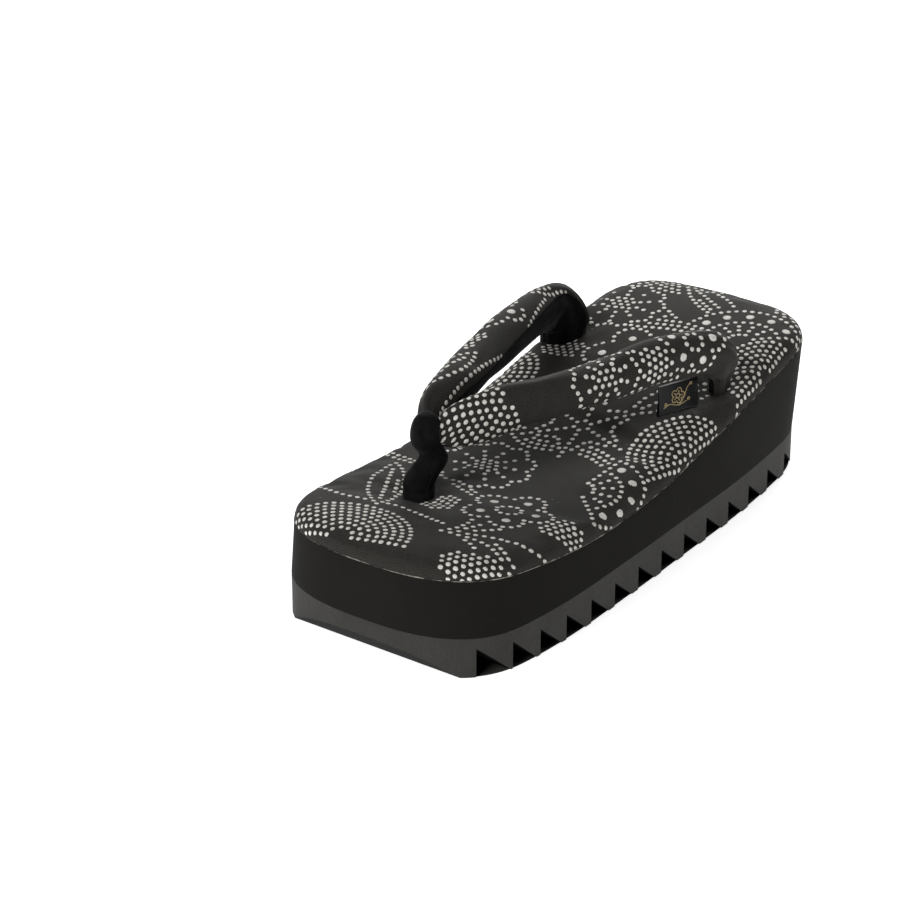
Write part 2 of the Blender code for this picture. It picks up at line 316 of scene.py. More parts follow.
def stuffed(points, faces, sewn, slack, limit):
    """How far each point of a cloth form moves when it is stuffed; sewn is 1 where it can't."""
    form = new_piece("form", points, faces)
    pins = form.vertex_groups.new(name="sewn")
    for number in np.flatnonzero(sewn > LEAST_HOLD):
        pins.add([int(number)], float(sewn[number]), "REPLACE")
    modifier = form.modifiers.new("stuffing", "CLOTH")
    modifier.point_cache.frame_end = STUFFING_FRAMES
    cloth = modifier.settings
    cloth.use_pressure = True
    cloth.uniform_pressure_force = STUFFING_PRESSURE
    cloth.shrink_min = -slack
    cloth.vertex_group_mass = pins.name
    cloth.effector_weights.gravity = 0.0
    for number in range(1, STUFFING_FRAMES + 1):
        bpy.context.scene.frame_set(number)
    result = form.evaluated_get(bpy.context.evaluated_depsgraph_get()).data
    place = np.zeros(3 * len(points), np.float32)
    result.vertices.foreach_get("co", place)
    bpy.context.scene.frame_set(1)
    bpy.data.objects.remove(form, do_unlink=True)
    move = place.reshape(-1, 3) - np.asarray(points, np.float32)
    length = np.linalg.norm(move, axis=1)[:, None]
    print("stuffing moved points by up to", round(float(length.max()) / MM, 2), "mm")
    return move * np.minimum(1, limit / np.maximum(length, 1e-9))


# %% [markdown]
# ## Finishes
# Each material starts from what the real one is and how its surface was made.
# Object coordinates are metres, so a pattern's scale is one over its size in metres.

# %% A material to start from
def new_material(name, values):
    """A material with its tree and its shader, which has the values on its own sockets."""
    material = bpy.data.materials.new(name)
    material.use_nodes = True
    shader = material.node_tree.nodes["Principled BSDF"]
    for label, value in values.items():
        shader.inputs[label].default_value = value
    return material, material.node_tree, shader


def finished(material, shader, colour, relief=None):
    """The material, once its colour and its relief are linked to its shader."""
    links = material.node_tree.links
    links.new(colour.outputs[2], shader.inputs["Base Color"])
    if relief:
        links.new(relief.outputs[0], shader.inputs["Normal"])
    return material


# %% [markdown]
# ### EVA foam
# The wedge is ethylene-vinyl acetate foam, cut from a sheet and buffed. Its closed cells
# leave a dead matt black with the finest pitting, and a few specks of lint cling to it.

# %% Buffed EVA foam
FOAM_CELL = 0.5 * MM         # real cells are about 0.1 mm, drawn coarser so that they show
FOAM_PIT = 0.12 * MM
FOAM_CLOUD = 26 * MM
LINT_SPACING = 9 * MM        # between the flecks that dark foam and dark cotton pick up


def make_foam():
    """Dead matt black, with fine pits, faint clouds and specks of lint."""
    material, tree, shader = new_material(
        "buffed EVA foam", {"Roughness": 0.82, "Specular IOR Level": 0.12})
    place = add_node(tree, "ShaderNodeTexCoord").outputs["Object"]
    cells = add_node(tree, "ShaderNodeTexNoise",
                     {"Vector": place, "Scale": 1 / FOAM_CELL, "Detail": 2.0, "Roughness": 0.6})
    clouds = add_node(tree, "ShaderNodeTexNoise",
                      {"Vector": place, "Scale": 1 / FOAM_CLOUD, "Detail": 3.0})
    black = add_node(tree, "ShaderNodeMix", {0: clouds.outputs["Fac"], 6: linear("#141311"),
                                             7: linear("#1C1B18")}, data_type="RGBA")
    specks = add_node(tree, "ShaderNodeTexVoronoi",
                      {"Vector": place, "Scale": 1 / LINT_SPACING, "Randomness": 1.0})
    lint = add_node(tree, "ShaderNodeMapRange", {0: specks.outputs["Distance"], 1: 0.02, 2: 0.035,
                                                 3: 0.55, 4: 0.0})
    dusty = add_node(tree, "ShaderNodeMix", {0: lint.outputs[0], 6: black.outputs[2],
                                             7: linear("#55544E")}, data_type="RGBA")
    bump = add_node(tree, "ShaderNodeBump", {"Height": cells.outputs["Fac"], "Strength": 0.35,
                                             "Distance": FOAM_PIT})
    return finished(material, shader, dusty, bump)


foam = make_foam()

# %% [markdown]
# ### Tread rubber
# The tread is moulded rubber, greyer than the foam because its surface chalks, and it
# was ground level with the foam, which leaves fine upright streaks on its wall.

# %% Ground rubber
STREAK_WIDTH = 1.1 * MM
STREAK_LENGTH = 9 * MM
CHALK_BLOTCH = 14 * MM
CHALK_SPECKLE = 0.8 * MM
RUBBER_RELIEF = 0.1 * MM


def make_rubber():
    """Chalky grey, with upright streaks from grinding."""
    material, tree, shader = new_material(
        "ground tread rubber", {"Roughness": 0.7, "Specular IOR Level": 0.25})
    place = add_node(tree, "ShaderNodeTexCoord").outputs["Object"]
    upright = add_node(tree, "ShaderNodeMapping",
                       {"Vector": place,
                        "Scale": (1 / STREAK_WIDTH, 1 / STREAK_WIDTH, 1 / STREAK_LENGTH)})
    streaks = add_node(tree, "ShaderNodeTexNoise",
                       {"Vector": upright.outputs[0], "Scale": 1.0, "Detail": 3.0})
    blotches = add_node(tree, "ShaderNodeTexNoise",
                        {"Vector": place, "Scale": 1 / CHALK_BLOTCH, "Detail": 4.0})
    speckle = add_node(tree, "ShaderNodeTexNoise",
                       {"Vector": place, "Scale": 1 / CHALK_SPECKLE, "Detail": 2.0})
    height = add_node(tree, "ShaderNodeMath", {0: streaks.outputs["Fac"], 1: 0.4},
                      operation="MULTIPLY")
    height = add_node(tree, "ShaderNodeMath",
                      {0: height.outputs[0], 1: blotches.outputs["Fac"]}, operation="ADD")
    height = add_node(tree, "ShaderNodeMath",
                      {0: height.outputs[0], 1: speckle.outputs["Fac"]}, operation="ADD")
    tone = add_node(tree, "ShaderNodeMapRange", {0: height.outputs[0], 1: 0.85, 2: 1.55})
    grey = add_node(tree, "ShaderNodeMix", {0: tone.outputs[0], 6: linear("#2F2E2B"),
                                            7: linear("#3C3B38")}, data_type="RGBA")
    bump = add_node(tree, "ShaderNodeBump", {"Height": height.outputs[0], "Strength": 0.25,
                                             "Distance": RUBBER_RELIEF})
    return finished(material, shader, grey, bump)


rubber = make_rubber()

# %% Moulded rubber, drawn blacker as painted shade
MOULD_GRAIN = 0.7 * MM
DUST_PATCH = 11 * MM


def make_shaded_moulded():
    """The same rubber as it leaves the mould, with the mould's fine matt grain, drawn blacker:
    painted shade for the notches.
    """
    material, tree, shader = new_material(
        "moulded tread rubber, painted shade", {"Roughness": 0.75, "Specular IOR Level": 0.1})
    place = add_node(tree, "ShaderNodeTexCoord").outputs["Object"]
    grain = add_node(tree, "ShaderNodeTexNoise",
                     {"Vector": place, "Scale": 1 / MOULD_GRAIN, "Detail": 3.0})
    dust = add_node(tree, "ShaderNodeTexNoise",
                    {"Vector": place, "Scale": 1 / DUST_PATCH, "Detail": 4.0})
    amount = add_node(tree, "ShaderNodeMapRange", {0: dust.outputs["Fac"], 1: 0.45, 2: 0.8})
    # near-black: painted shade for the notch faces, which lie in the shoe's shadow
    black = add_node(tree, "ShaderNodeMix", {0: amount.outputs[0], 6: linear("#080707"),
                                             7: linear("#131210")}, data_type="RGBA")
    bump = add_node(tree, "ShaderNodeBump", {"Height": grain.outputs["Fac"], "Strength": 0.3,
                                             "Distance": RUBBER_RELIEF})
    return finished(material, shader, black, bump)


moulded = make_shaded_moulded()

# %% [markdown]
# ### Cotton twill
# The footbed and the strap are wrapped in charcoal cotton twill. Twill shows as fine
# diagonal ribs. The ribs follow the cloth and not the object, so they read the piece's
# own UV map, which holds the cloth's flat shape in metres, as it lay on the cutting table.

# %% Charcoal twill
TWILL_RIB = 1.0 * MM         # real ribs are about 0.4 mm apart, drawn coarser to show
FUZZ = 0.45 * MM             # real fibres are far finer; this is the grain they leave
THREAD_SLUB = 7 * MM
TWILL_RELIEF = 0.15 * MM
TWILL_SLANT = math.radians(63)
WAVE_PERIOD = math.pi / 10   # width of one band of a wave texture whose scale is 1


def make_twill():
    """Charcoal ribs under a soft fuzz, with worn patches and flecks of lint."""
    material, tree, shader = new_material(
        "charcoal cotton twill",
        {"Roughness": 0.86, "Specular IOR Level": 0.2, "Sheen Weight": 0.1,
         "Sheen Roughness": 0.45, "Sheen Tint": linear("#CCCCCC")})
    cloth = add_node(tree, "ShaderNodeUVMap", uv_map="cloth").outputs[0]
    turned = add_node(tree, "ShaderNodeMapping",
                      {"Vector": cloth, "Rotation": (0, 0, TWILL_SLANT)})
    ribs = add_node(tree, "ShaderNodeTexWave",
                    {"Vector": turned.outputs[0], "Scale": WAVE_PERIOD / TWILL_RIB,
                     "Distortion": 3.5, "Detail": 4.0, "Detail Scale": 2.0})
    slubs = add_node(tree, "ShaderNodeTexNoise",
                     {"Vector": cloth, "Scale": 1 / THREAD_SLUB, "Detail": 6.0, "Roughness": 0.7})
    fuzz = add_node(tree, "ShaderNodeTexNoise",
                    {"Vector": cloth, "Scale": 1 / FUZZ, "Detail": 3.0, "Roughness": 0.65})
    mixed = add_node(tree, "ShaderNodeMath", {0: ribs.outputs["Fac"], 1: 0.12},
                     operation="MULTIPLY")
    mixed = add_node(tree, "ShaderNodeMath", {0: mixed.outputs[0], 1: fuzz.outputs["Fac"]},
                     operation="ADD")
    tone = add_node(tree, "ShaderNodeMapRange", {0: mixed.outputs[0], 1: 0.42, 2: 0.74})
    dark = add_node(tree, "ShaderNodeMix", {0: tone.outputs[0], 6: linear("#1C1B19"),
                                            7: linear("#3A3834")}, data_type="RGBA")
    worn = add_node(tree, "ShaderNodeMapRange", {0: slubs.outputs["Fac"], 1: 0.35, 2: 0.7,
                                                 3: 0.0, 4: 0.4})
    cloudy = add_node(tree, "ShaderNodeMix", {0: worn.outputs[0], 6: dark.outputs[2],
                                              7: linear("#3B3936")}, data_type="RGBA")
    flecks = add_node(tree, "ShaderNodeTexVoronoi", {"Vector": cloth, "Scale": 1 / LINT_SPACING})
    lint = add_node(tree, "ShaderNodeMapRange", {0: flecks.outputs["Distance"], 1: 0.02, 2: 0.06,
                                                 3: 0.6, 4: 0.0})
    linty = add_node(tree, "ShaderNodeMix", {0: lint.outputs[0], 6: cloudy.outputs[2],
                                             7: linear("#7D7C76")}, data_type="RGBA")
    bump = add_node(tree, "ShaderNodeBump", {"Height": mixed.outputs[0], "Strength": 0.2,
                                             "Distance": TWILL_RELIEF})
    return finished(material, shader, linty, bump)


twill = make_twill()

# %% [markdown]
# ### Velvet
# The lining, the toe post and its loop are black cotton velvet. Its pile swallows light
# from the front and catches it at a grazing angle: that is what the sheen is for. Where
# fingers brushed it, the pile lies another way and looks a shade lighter.

# %% Black velvet
PILE_TUFT = 0.55 * MM        # real tufts are under 0.2 mm, drawn coarser to show
PILE_DEPTH = 0.2 * MM
BRUSHED_PATCH = 7 * MM


def make_velvet():
    """Black pile with a cool sheen and brushed patches."""
    material, tree, shader = new_material(
        "black cotton velvet",
        {"Roughness": 0.95, "Specular IOR Level": 0.15, "Sheen Weight": 0.55,
         "Sheen Roughness": 0.32, "Sheen Tint": linear("#7C7C84")})
    place = add_node(tree, "ShaderNodeTexCoord").outputs["Object"]
    tufts = add_node(tree, "ShaderNodeTexNoise",
                     {"Vector": place, "Scale": 1 / PILE_TUFT, "Detail": 2.0})
    brushed = add_node(tree, "ShaderNodeTexNoise",
                       {"Vector": place, "Scale": 1 / BRUSHED_PATCH, "Detail": 3.0,
                        "Distortion": 0.6})
    lies = add_node(tree, "ShaderNodeMapRange", {0: brushed.outputs["Fac"], 1: 0.4, 2: 0.68})
    black = add_node(tree, "ShaderNodeMix", {0: lies.outputs[0], 6: linear("#0B0B0B"),
                                             7: linear("#191919")}, data_type="RGBA")
    bump = add_node(tree, "ShaderNodeBump", {"Height": tufts.outputs["Fac"], "Strength": 0.6,
                                             "Distance": PILE_DEPTH})
    return finished(material, shader, black, bump)


velvet = make_velvet()
print("finishes:", ", ".join(m.name for m in (foam, rubber, moulded, twill, velvet)))

# %% [markdown]
# ## The foam wedge
# Flat where it meets the rubber and scooped above for the foot. Each edge that a knife
# and a buffing wheel leave is slightly round, so the wall is drawn in at both its ends.

# %% Midsole
OUTLINE_STEPS = 320
WEDGE_ROUND = 0.16 * MM
# share of the way up the wall, and how much of the rounding it is drawn in by there
WEDGE_WALL = ((0.0, 0.4), (0.006, 0.1), (0.02, 0.0), (0.25, 0.0), (0.5, 0.0), (0.75, 0.0),
              (0.98, 0.0), (0.994, 0.3), (1.0, 1.0))
WEDGE_BARS = 8               # quads across its caps


def make_midsole():
    angles = even_angles(OUTLINE_STEPS)
    low = outline_at(angles, JOINT)
    high = outline_at(angles, CLOTH, overhang=HEEL_OVERHANG)
    bottom = np.full(len(low), OUTSOLE_TOP + JOINT_LINE)
    top = edge_height(high[:, 1]) - JOINT_LINE
    rings = []
    for share, drawn_in in WEDGE_WALL:
        wall = (1 - share) * low + share * high
        outward = wall / np.hypot(*wall.T)[:, None]
        wall = wall - outward * drawn_in * WEDGE_ROUND
        rings.append(np.column_stack([wall, (1 - share) * bottom + share * top]))
    points, faces = joined_rings(rings, WEDGE_BARS)
    return new_piece("midsole_foam", points, faces, foam)


midsole = make_midsole()
print("midsole:", len(midsole.data.polygons), "faces")

# %% [markdown]
# ## The tread
# The tread's side view is a row of saw teeth that stand closer under the toe. A
# Geometry Nodes tree does what the mould maker did: it sweeps the drawn line across the
# sole and trims the bar to the sole's outline; a bevel then rounds the worn edges.

# %% Drawing the teeth
TOE_BEVEL_RISE = 8.9 * MM
TOE_BEVEL_RUN = 8.5 * MM
TOOTH_DEPTH = 9.4 * MM
TOE_DEEPER = 2.0 * MM        # the notches under the toe are cut deeper
TOOTH_SLOPE = 12.0 * MM
FIRST_NOTCH = -110.2 * MM
NOTCHES = 14
TOOTH_PITCH = 17.0 * MM
TOE_CROWDING = 4.2 * MM
CROWDING_FADE = 0.72
SPARE_END = 4 * MM           # drawn past the sole at both ends, and trimmed off later


def tread_line():
    """Side view of the tread as (y, z) corners, from the toe along the floor."""
    toe = -LENGTH / 2 - SPARE_END
    heel = LENGTH / 2 + SPARE_END
    bevel_end = -LENGTH / 2 + TOE_BEVEL_RUN
    slope = TOE_BEVEL_RISE / TOE_BEVEL_RUN
    top = OUTSOLE_TOP - JOINT_LINE
    line = [(toe, top), (toe, (bevel_end - toe) * slope), (bevel_end, 0.0)]
    notch = FIRST_NOTCH
    for index in range(NOTCHES):
        near_toe = CROWDING_FADE ** index
        line += [(notch, 0.0), (notch, TOOTH_DEPTH + TOE_DEEPER * near_toe),
                 (notch + TOOTH_SLOPE, 0.0)]
        notch += TOOTH_PITCH - TOE_CROWDING * near_toe
    return line + [(heel, 0.0), (heel, top)]


print("tread:", NOTCHES, "notches,", round(TOOTH_DEPTH / MM, 1), "mm deep")

# %% Sweeping and trimming the tread
SAME_POINT = 0.001 * MM      # points that lie closer than this are one point


def tread_tree():
    tree, given = new_tree("saw-toothed tread",
                           {"Line": "Geometry", "Outline": "Object", "Width": "Float",
                            "Moulded": "Material", "Ground": "Material"})
    line = add_node(tree, "GeometryNodeMeshToCurve", {"Mesh": given.outputs["Line"]})
    cut = add_node(tree, "GeometryNodeFillCurve", {"Curve": line.outputs[0]}, mode="NGONS")
    back = add_node(tree, "GeometryNodeFlipFaces", {"Mesh": cut.outputs[0]})
    bar = add_node(tree, "GeometryNodeExtrudeMesh",
                   {"Mesh": cut.outputs[0], "Offset Scale": given.outputs["Width"],
                    "Individual": False})
    both = add_node(tree, "GeometryNodeJoinGeometry", {0: back.outputs[0]})
    tree.links.new(bar.outputs["Mesh"], both.inputs[0])
    solid = add_node(tree, "GeometryNodeMergeByDistance",
                     {"Geometry": both.outputs[0], "Distance": SAME_POINT})
    centred = add_node(tree, "ShaderNodeMath", {0: given.outputs["Width"], 1: -0.5},
                       operation="MULTIPLY")
    aside = add_node(tree, "ShaderNodeCombineXYZ", {"Z": centred.outputs[0]})
    middle = add_node(tree, "GeometryNodeTransform",
                      {"Geometry": solid.outputs[0], "Translation": aside.outputs[0]})
    # the line was drawn lying down: a third of a turn about the diagonal sets x, y, z right
    upright = add_node(tree, "GeometryNodeTransform",
                       {"Geometry": middle.outputs[0],
                        "Rotation": (math.radians(90), 0.0, math.radians(90))})
    # the mould's faces are marked, so that they take the blacker rubber, which is painted shade,
    # and the ground wall can have its own finish
    marked = add_node(tree, "GeometryNodeStoreNamedAttribute",
                      {"Geometry": upright.outputs[0], "Name": "moulded", "Value": True},
                      data_type="BOOLEAN", domain="FACE")
    block = add_node(tree, "GeometryNodeObjectInfo", {"Object": given.outputs["Outline"]})
    trimmed = add_node(tree, "GeometryNodeMeshBoolean", operation="INTERSECT", solver="EXACT")
    tree.links.new(marked.outputs[0], trimmed.inputs[1])
    tree.links.new(block.outputs["Geometry"], trimmed.inputs[1])
    plain = add_node(tree, "GeometryNodeRealizeInstances", {0: trimmed.outputs[0]})
    ground = add_node(tree, "GeometryNodeSetMaterial",
                      {"Geometry": plain.outputs[0], "Material": given.outputs["Ground"]})
    mark = add_node(tree, "GeometryNodeInputNamedAttribute", {"Name": "moulded"},
                    data_type="BOOLEAN")
    finish = add_node(tree, "GeometryNodeSetMaterial",
                      {"Geometry": ground.outputs[0], "Selection": mark.outputs[0],
                       "Material": given.outputs["Moulded"]})
    add_node(tree, "NodeGroupOutput", {0: finish.outputs[0]})
    return tree


# %% [markdown]
# A tree's inputs are set by their identifiers, before Blender first evaluates the object.
# The same short function serves every tree here: it hangs the tree on a piece, fills its
# inputs, takes the result as a plain mesh and lets go of the tree.

# %% Running a tree once
def grown(name, source, tree, **inputs):
    """A new plain piece: what the tree makes of the source mesh."""
    modifier = source.modifiers.new(tree.name, "NODES")
    modifier.node_group = tree
    identifiers = {item.name: item.identifier for item in tree.interface.items_tree
                   if item.in_out == "INPUT"}
    for key, value in inputs.items():
        modifier[identifiers[key]] = value
    evaluated = source.evaluated_get(bpy.context.evaluated_depsgraph_get())
    mesh = bpy.data.meshes.new_from_object(evaluated)
    mesh.name = name
    source.modifiers.remove(modifier)
    return placed(name, mesh)


# %% Outsole
BAR_WIDTH = 180 * MM         # wider than the sole, which trims it
BLOCK_HEIGHTS = (-5 * MM, OUTSOLE_TOP * 1.3)   # the trimming block stands out both ways
EDGE_ROUND = 0.3 * MM
WORN_ANGLE = math.radians(33)


def weigh_worn_edges(piece):
    """The edge that is glued to the foam stays sharp, so only the others are weighted."""
    skin = bmesh.new()
    skin.from_mesh(piece.data)
    weight = skin.edges.layers.float.new("bevel_weight_edge")
    for edge in skin.edges:
        worn = edge.calc_face_angle(0.0) > WORN_ANGLE
        free = min(vert.co.z for vert in edge.verts) < OUTSOLE_TOP - MM
        edge[weight] = float(worn and free)
    skin.to_mesh(piece.data)
    skin.free()


def make_outsole():
    drawn = drawn_line("tread_line", [(y, z, 0.0) for y, z in tread_line()])
    shape = outline_at(even_angles(OUTLINE_STEPS), JOINT)
    rings = [np.column_stack([shape, np.full(len(shape), height)]) for height in BLOCK_HEIGHTS]
    block = new_piece("outline_block", *joined_rings(rings, across=1))
    piece = grown("outsole_rubber", drawn, tread_tree(), Outline=block, Width=BAR_WIDTH,
                  Ground=rubber, Moulded=moulded)
    discard(drawn, block)
    weigh_worn_edges(piece)
    rounding = piece.modifiers.new("rounded edges", "BEVEL")
    rounding.width = EDGE_ROUND
    rounding.segments = 2
    rounding.limit_method = "WEIGHT"
    rounding.harden_normals = False
    piece.data.shade_smooth()
    piece.data.set_sharp_from_angle(angle=math.radians(30))
    return piece


outsole = make_outsole()
print("outsole:", len(outsole.data.polygons), "faces,",
      [round(side / MM, 1) for side in outsole.dimensions], "mm")

# %% [markdown]
# ## The padded footbed
# A thin pad lies on the wedge, and the cloth is drawn over it and tucked in all round.
# The roll of the rim is a quarter of an ellipse. The cloth is kept twice: as it is worn,
# and as it lay flat, so that whatever is printed on it can follow it round the rim.

# %% Footbed rings
RIM_INSET = 6.0 * MM
RIM_HEIGHT = 6.6 * MM
CROWN = 0.6 * MM
TUCK = 0.35 * MM
CROWN_EDGE = 32 * MM
TUCK_RINGS = ((TUCK, 0.0), (0.35 * TUCK, 0.25 * MM), (0.05 * TUCK, 0.7 * MM))
RIM_RINGS = 13
CROWN_RINGS = 14
# x, y, half length, half breadth and turn of the holes that the strap and post go into
OUTER_SOCKET = (36.6, 55.2, 4.9, 3.7, 99.0)
INNER_SOCKET = (-38.6, 58.6, 8.9, 4.6, 38.0)
POST_SOCKET = (-13.0, -70.8, 6.0, 5.0, 90.0)
SOCKETS = (OUTER_SOCKET, INNER_SOCKET, POST_SOCKET)
SOCKET_DEPTH = 9.0
SOCKET_LIP = 8.2


def footbed_rings():
    """(inset, rise, flat inset) of every ring of the cloth, from its tucked edge inwards."""
    rings = list(TUCK_RINGS)
    for degrees in np.linspace(9, 90, RIM_RINGS):
        turn = math.radians(degrees)
        rings.append((RIM_INSET * (1 - math.cos(turn)), RIM_HEIGHT * math.sin(turn)))
    for inset in np.linspace(RIM_INSET, CROWN_EDGE, CROWN_RINGS + 1)[1:]:
        share = (inset - RIM_INSET) / (CROWN_EDGE - RIM_INSET)
        rings.append((inset, RIM_HEIGHT + CROWN * math.sin(share * math.pi / 2)))
    # unrolled, the rim reaches out as far as its own arc is long
    whole = []
    steps = np.hypot(*np.diff(np.array(rings), axis=0).T)
    rim_end = len(TUCK_RINGS) + RIM_RINGS - 1
    for k, (inset, rise) in enumerate(rings):
        flat = RIM_INSET - steps[k:rim_end].sum() if k < rim_end else inset
        whole.append((inset, rise, flat))
    return whole


def wrinkles(x, y):
    """How far soft padding and wear move the cloth up or down; x and y in millimetres."""
    soft = 0.16 * np.sin(x / 13.0 + 0.7) * np.sin(y / 19.0 + 1.1)
    soft += 0.12 * np.sin((x + 0.6 * y) / 8.5 + 2.0) * np.sin((y - 0.4 * x) / 12.0)
    for px, py, *_ in SOCKETS:
        away = np.hypot(x - px, y - py)
        # the hole pulls the cloth down, and little folds run out from it
        soft -= 1.5 * np.exp(-((away - 4) / 6.5) ** 2)
        around = np.arctan2(y - py, x - px)
        soft += 0.22 * np.exp(-((away - 10) / 6) ** 2) * np.sin(7 * around + px)
    return soft * MM


def footbed_surface():
    """Rings of points of the cloth's upper side, as it is worn and as it lay flat."""
    angles = even_angles(OUTLINE_STEPS)
    worn, flat = [], []
    for inset, rise, flat_inset in footbed_rings():
        line = outline_at(angles, CLOTH, inset, HEEL_OVERHANG)
        z = edge_height(line[:, 1]) + JOINT_LINE + rise
        worn.append(np.column_stack([line, z]))
        flat.append(outline_at(angles, CLOTH, flat_inset, HEEL_OVERHANG))
    return worn, flat


# %% Padding the footbed
PAD_BARS = 26                # quads across the pad
PAD_SLACK = 0.006
PAD_LIMIT = 0.9 * MM
PAD_SINK = 0.3 * MM          # the padding lets the cloth sink no further than this


def sewn_footbed(points, rise):
    """How firmly each upper point is held: by the rim, and round the three holes."""
    sewn = 1 - np.clip((rise - 0.15 * RIM_HEIGHT) / (0.5 * RIM_HEIGHT), 0, 1)
    for px, py, *_ in SOCKETS:
        away = np.hypot(points[:, 0] / MM - px, points[:, 1] / MM - py)
        sewn = np.maximum(sewn, np.clip(1.6 - away / 8, 0, 1))
    return sewn


def make_footbed():
    worn, flat = footbed_surface()
    points = [point for ring in worn for point in ring]
    laid = [point for ring in flat for point in ring]
    numbers = ring_numbers(len(worn), len(worn[0]))
    faces = ring_walls(numbers) + barred_cap(points, numbers[-1], PAD_BARS)
    barred_cap(laid, numbers[-1], PAD_BARS)
    points, laid = np.array(points), np.array(laid)
    top = len(points)
    rise = points[:, 2] - edge_height(points[:, 1])
    share = np.clip(rise / RIM_HEIGHT, 0, 1) ** 2
    points[:, 2] += wrinkles(points[:, 0] / MM, points[:, 1] / MM) * share
    # the pad's underside repeats the tucked ring, so that the piece is closed
    whole = list(points)
    faces += barred_cap(whole, numbers[0], PAD_BARS)
    whole = np.array(whole)
    laid = np.vstack([laid, whole[top:, :2]])
    sewn = np.ones(len(whole))
    sewn[:top] = sewn_footbed(points, rise)
    move = stuffed(whole, faces, sewn, PAD_SLACK, PAD_LIMIT)
    move[:, 2] = np.maximum(move[:, 2], -PAD_SINK)
    piece = new_piece("footbed_cloth", whole + move, faces, twill, crisp_degrees=60)
    lay_flat(piece, laid)
    return piece, laid, top


footbed, footbed_flat, footbed_top = make_footbed()
print("footbed:", len(footbed.data.polygons), "faces")

# %% [markdown]
# ## The strap
# The strap is one soft tube, folded in two at the toe post, with both its ends sewn into
# the sole. Its table holds an edge-to-edge line for each section along the way.

# %% The strap's sections
# columns: lower edge x, y, z, upper edge x, y, z, thickness; millimetres
OUTER_ARM_ROWS = (
    (-8.6, -56.4, 55.0, -8.8, -57.4, 71.8, 8.4),
    (-2.4, -48.1, 55.1, -5.2, -49.9, 74.5, 11.8),
    (4.9, -36.4, 58.0, 0.3, -36.4, 76.0, 13.2),
    (11.6, -24.0, 59.6, 6.2, -22.8, 75.7, 13.6),
    (17.4, -10.6, 60.4, 11.8, -9.2, 76.1, 13.8),
    (23.5, 6.1, 61.0, 17.9, 7.9, 77.2, 13.8),
    (29.0, 22.8, 61.2, 24.2, 25.2, 78.3, 13.6),
    (33.8, 37.6, 60.6, 31.0, 41.8, 77.4, 13.2),
    (36.3, 44.2, 59.4, 35.7, 53.6, 74.2, 12.8),
    (38.2, 46.2, 58.2, 37.0, 61.4, 66.4, 11.8),
    (37.0, 49.2, 56.8, 36.8, 60.4, 59.6, 9.4),
)
INNER_ARM_ROWS = (
    (-19.0, -56.0, 55.4, -19.2, -57.0, 71.8, 8.4),
    (-21.7, -46.9, 54.8, -19.9, -49.9, 75.2, 12.4),
    (-26.2, -34.9, 56.8, -21.6, -35.7, 76.8, 14.2),
    (-29.3, -22.4, 58.0, -24.3, -22.4, 76.8, 15.0),
    (-31.8, -8.7, 59.4, -27.0, -8.7, 77.4, 15.2),
    (-35.2, 7.9, 59.4, -30.0, 8.5, 78.6, 15.2),
    (-38.2, 24.4, 59.0, -33.4, 25.8, 79.0, 14.8),
    (-39.3, 36.4, 58.7, -36.5, 42.6, 78.0, 14.0),
    (-41.4, 43.8, 58.2, -35.8, 54.2, 75.8, 13.2),
    (-44.6, 48.8, 57.4, -32.8, 61.6, 68.8, 12.4),
    (-45.8, 51.4, 55.8, -30.8, 65.4, 59.4, 11.0),
)
NOSE_CENTRE = (-14.1, -61.0)
NOSE_RADIUS = 2.8
# columns: turn round the fold in degrees, lower edge z, upper edge z, thickness
NOSE_ROWS = (
    (0, 57.6, 67.8, 4.8),
    (45, 58.0, 67.2, 4.5),
    (90, 58.2, 67.0, 4.4),
    (135, 58.0, 67.2, 4.5),
    (180, 57.6, 67.8, 4.8),
)


def socket_rows(socket):
    """Rows for an end of the strap that stands in its socket, top first."""
    x, y, half_long, half_short, turn = socket
    reach = half_long * np.array([math.cos(math.radians(turn)), math.sin(math.radians(turn))])
    edge = edge_height([y * MM])[0] / MM
    rows = []
    for height in (edge + SOCKET_LIP, edge - SOCKET_DEPTH / 2, edge - SOCKET_DEPTH):
        rows.append((x - reach[0], y - reach[1], height, x + reach[0], y + reach[1], height,
                     2 * half_short))
    return rows


def strap_rows():
    """The whole band, from the outer socket round its nose to the inner socket."""
    outer = list(OUTER_ARM_ROWS) + socket_rows(OUTER_SOCKET)
    inner = list(INNER_ARM_ROWS) + socket_rows(INNER_SOCKET)
    nose = []
    for degrees, low, high, thickness in NOSE_ROWS:
        x = NOSE_CENTRE[0] + NOSE_RADIUS * math.cos(math.radians(degrees))
        y = NOSE_CENTRE[1] - NOSE_RADIUS * math.sin(math.radians(degrees))
        nose.append((x, y, low, x, y, high, thickness))
    return np.array(outer[::-1] + nose + inner)


SECTION_SPACING = 1.3 * MM
FINE_SECTIONS = 4000


def strap_sections():
    """Evenly spaced sections: middle, half width, half thickness, way, length and row so far."""
    rows = strap_rows()
    fine = np.linspace(0, len(rows) - 1, FINE_SECTIONS + 1)
    table = read_rows(rows, fine) * MM
    middle = (table[:, :3] + table[:, 3:6]) / 2
    travelled = np.concatenate([[0], np.cumsum(np.linalg.norm(np.diff(middle, axis=0), axis=1))])
    count = int(travelled[-1] / SECTION_SPACING)
    at = np.linspace(0, travelled[-1], count + 1)
    even = np.column_stack([np.interp(at, travelled, table[:, k]) for k in range(7)])
    row_number = np.interp(at, travelled, fine)
    middle = (even[:, :3] + even[:, 3:6]) / 2
    reach = (even[:, 3:6] - even[:, :3]) / 2
    way = np.gradient(middle, axis=0)
    way /= np.linalg.norm(way, axis=1)[:, None]
    return middle, reach, even[:, 6] / 2, way, at, row_number


middle, reach, half_thick, way, travelled, row_number = strap_sections()
print("strap:", len(middle), "sections over", round(travelled[-1] / MM), "mm")

# %% [markdown]
# Seen end on, a section is a plump oval. The cloth forms its outside and its top, and a
# velvet lining faces the foot. Toward its ends the tube is gathered to go through the
# sole, which leaves pleats that run along it, and its bends crumple a little.

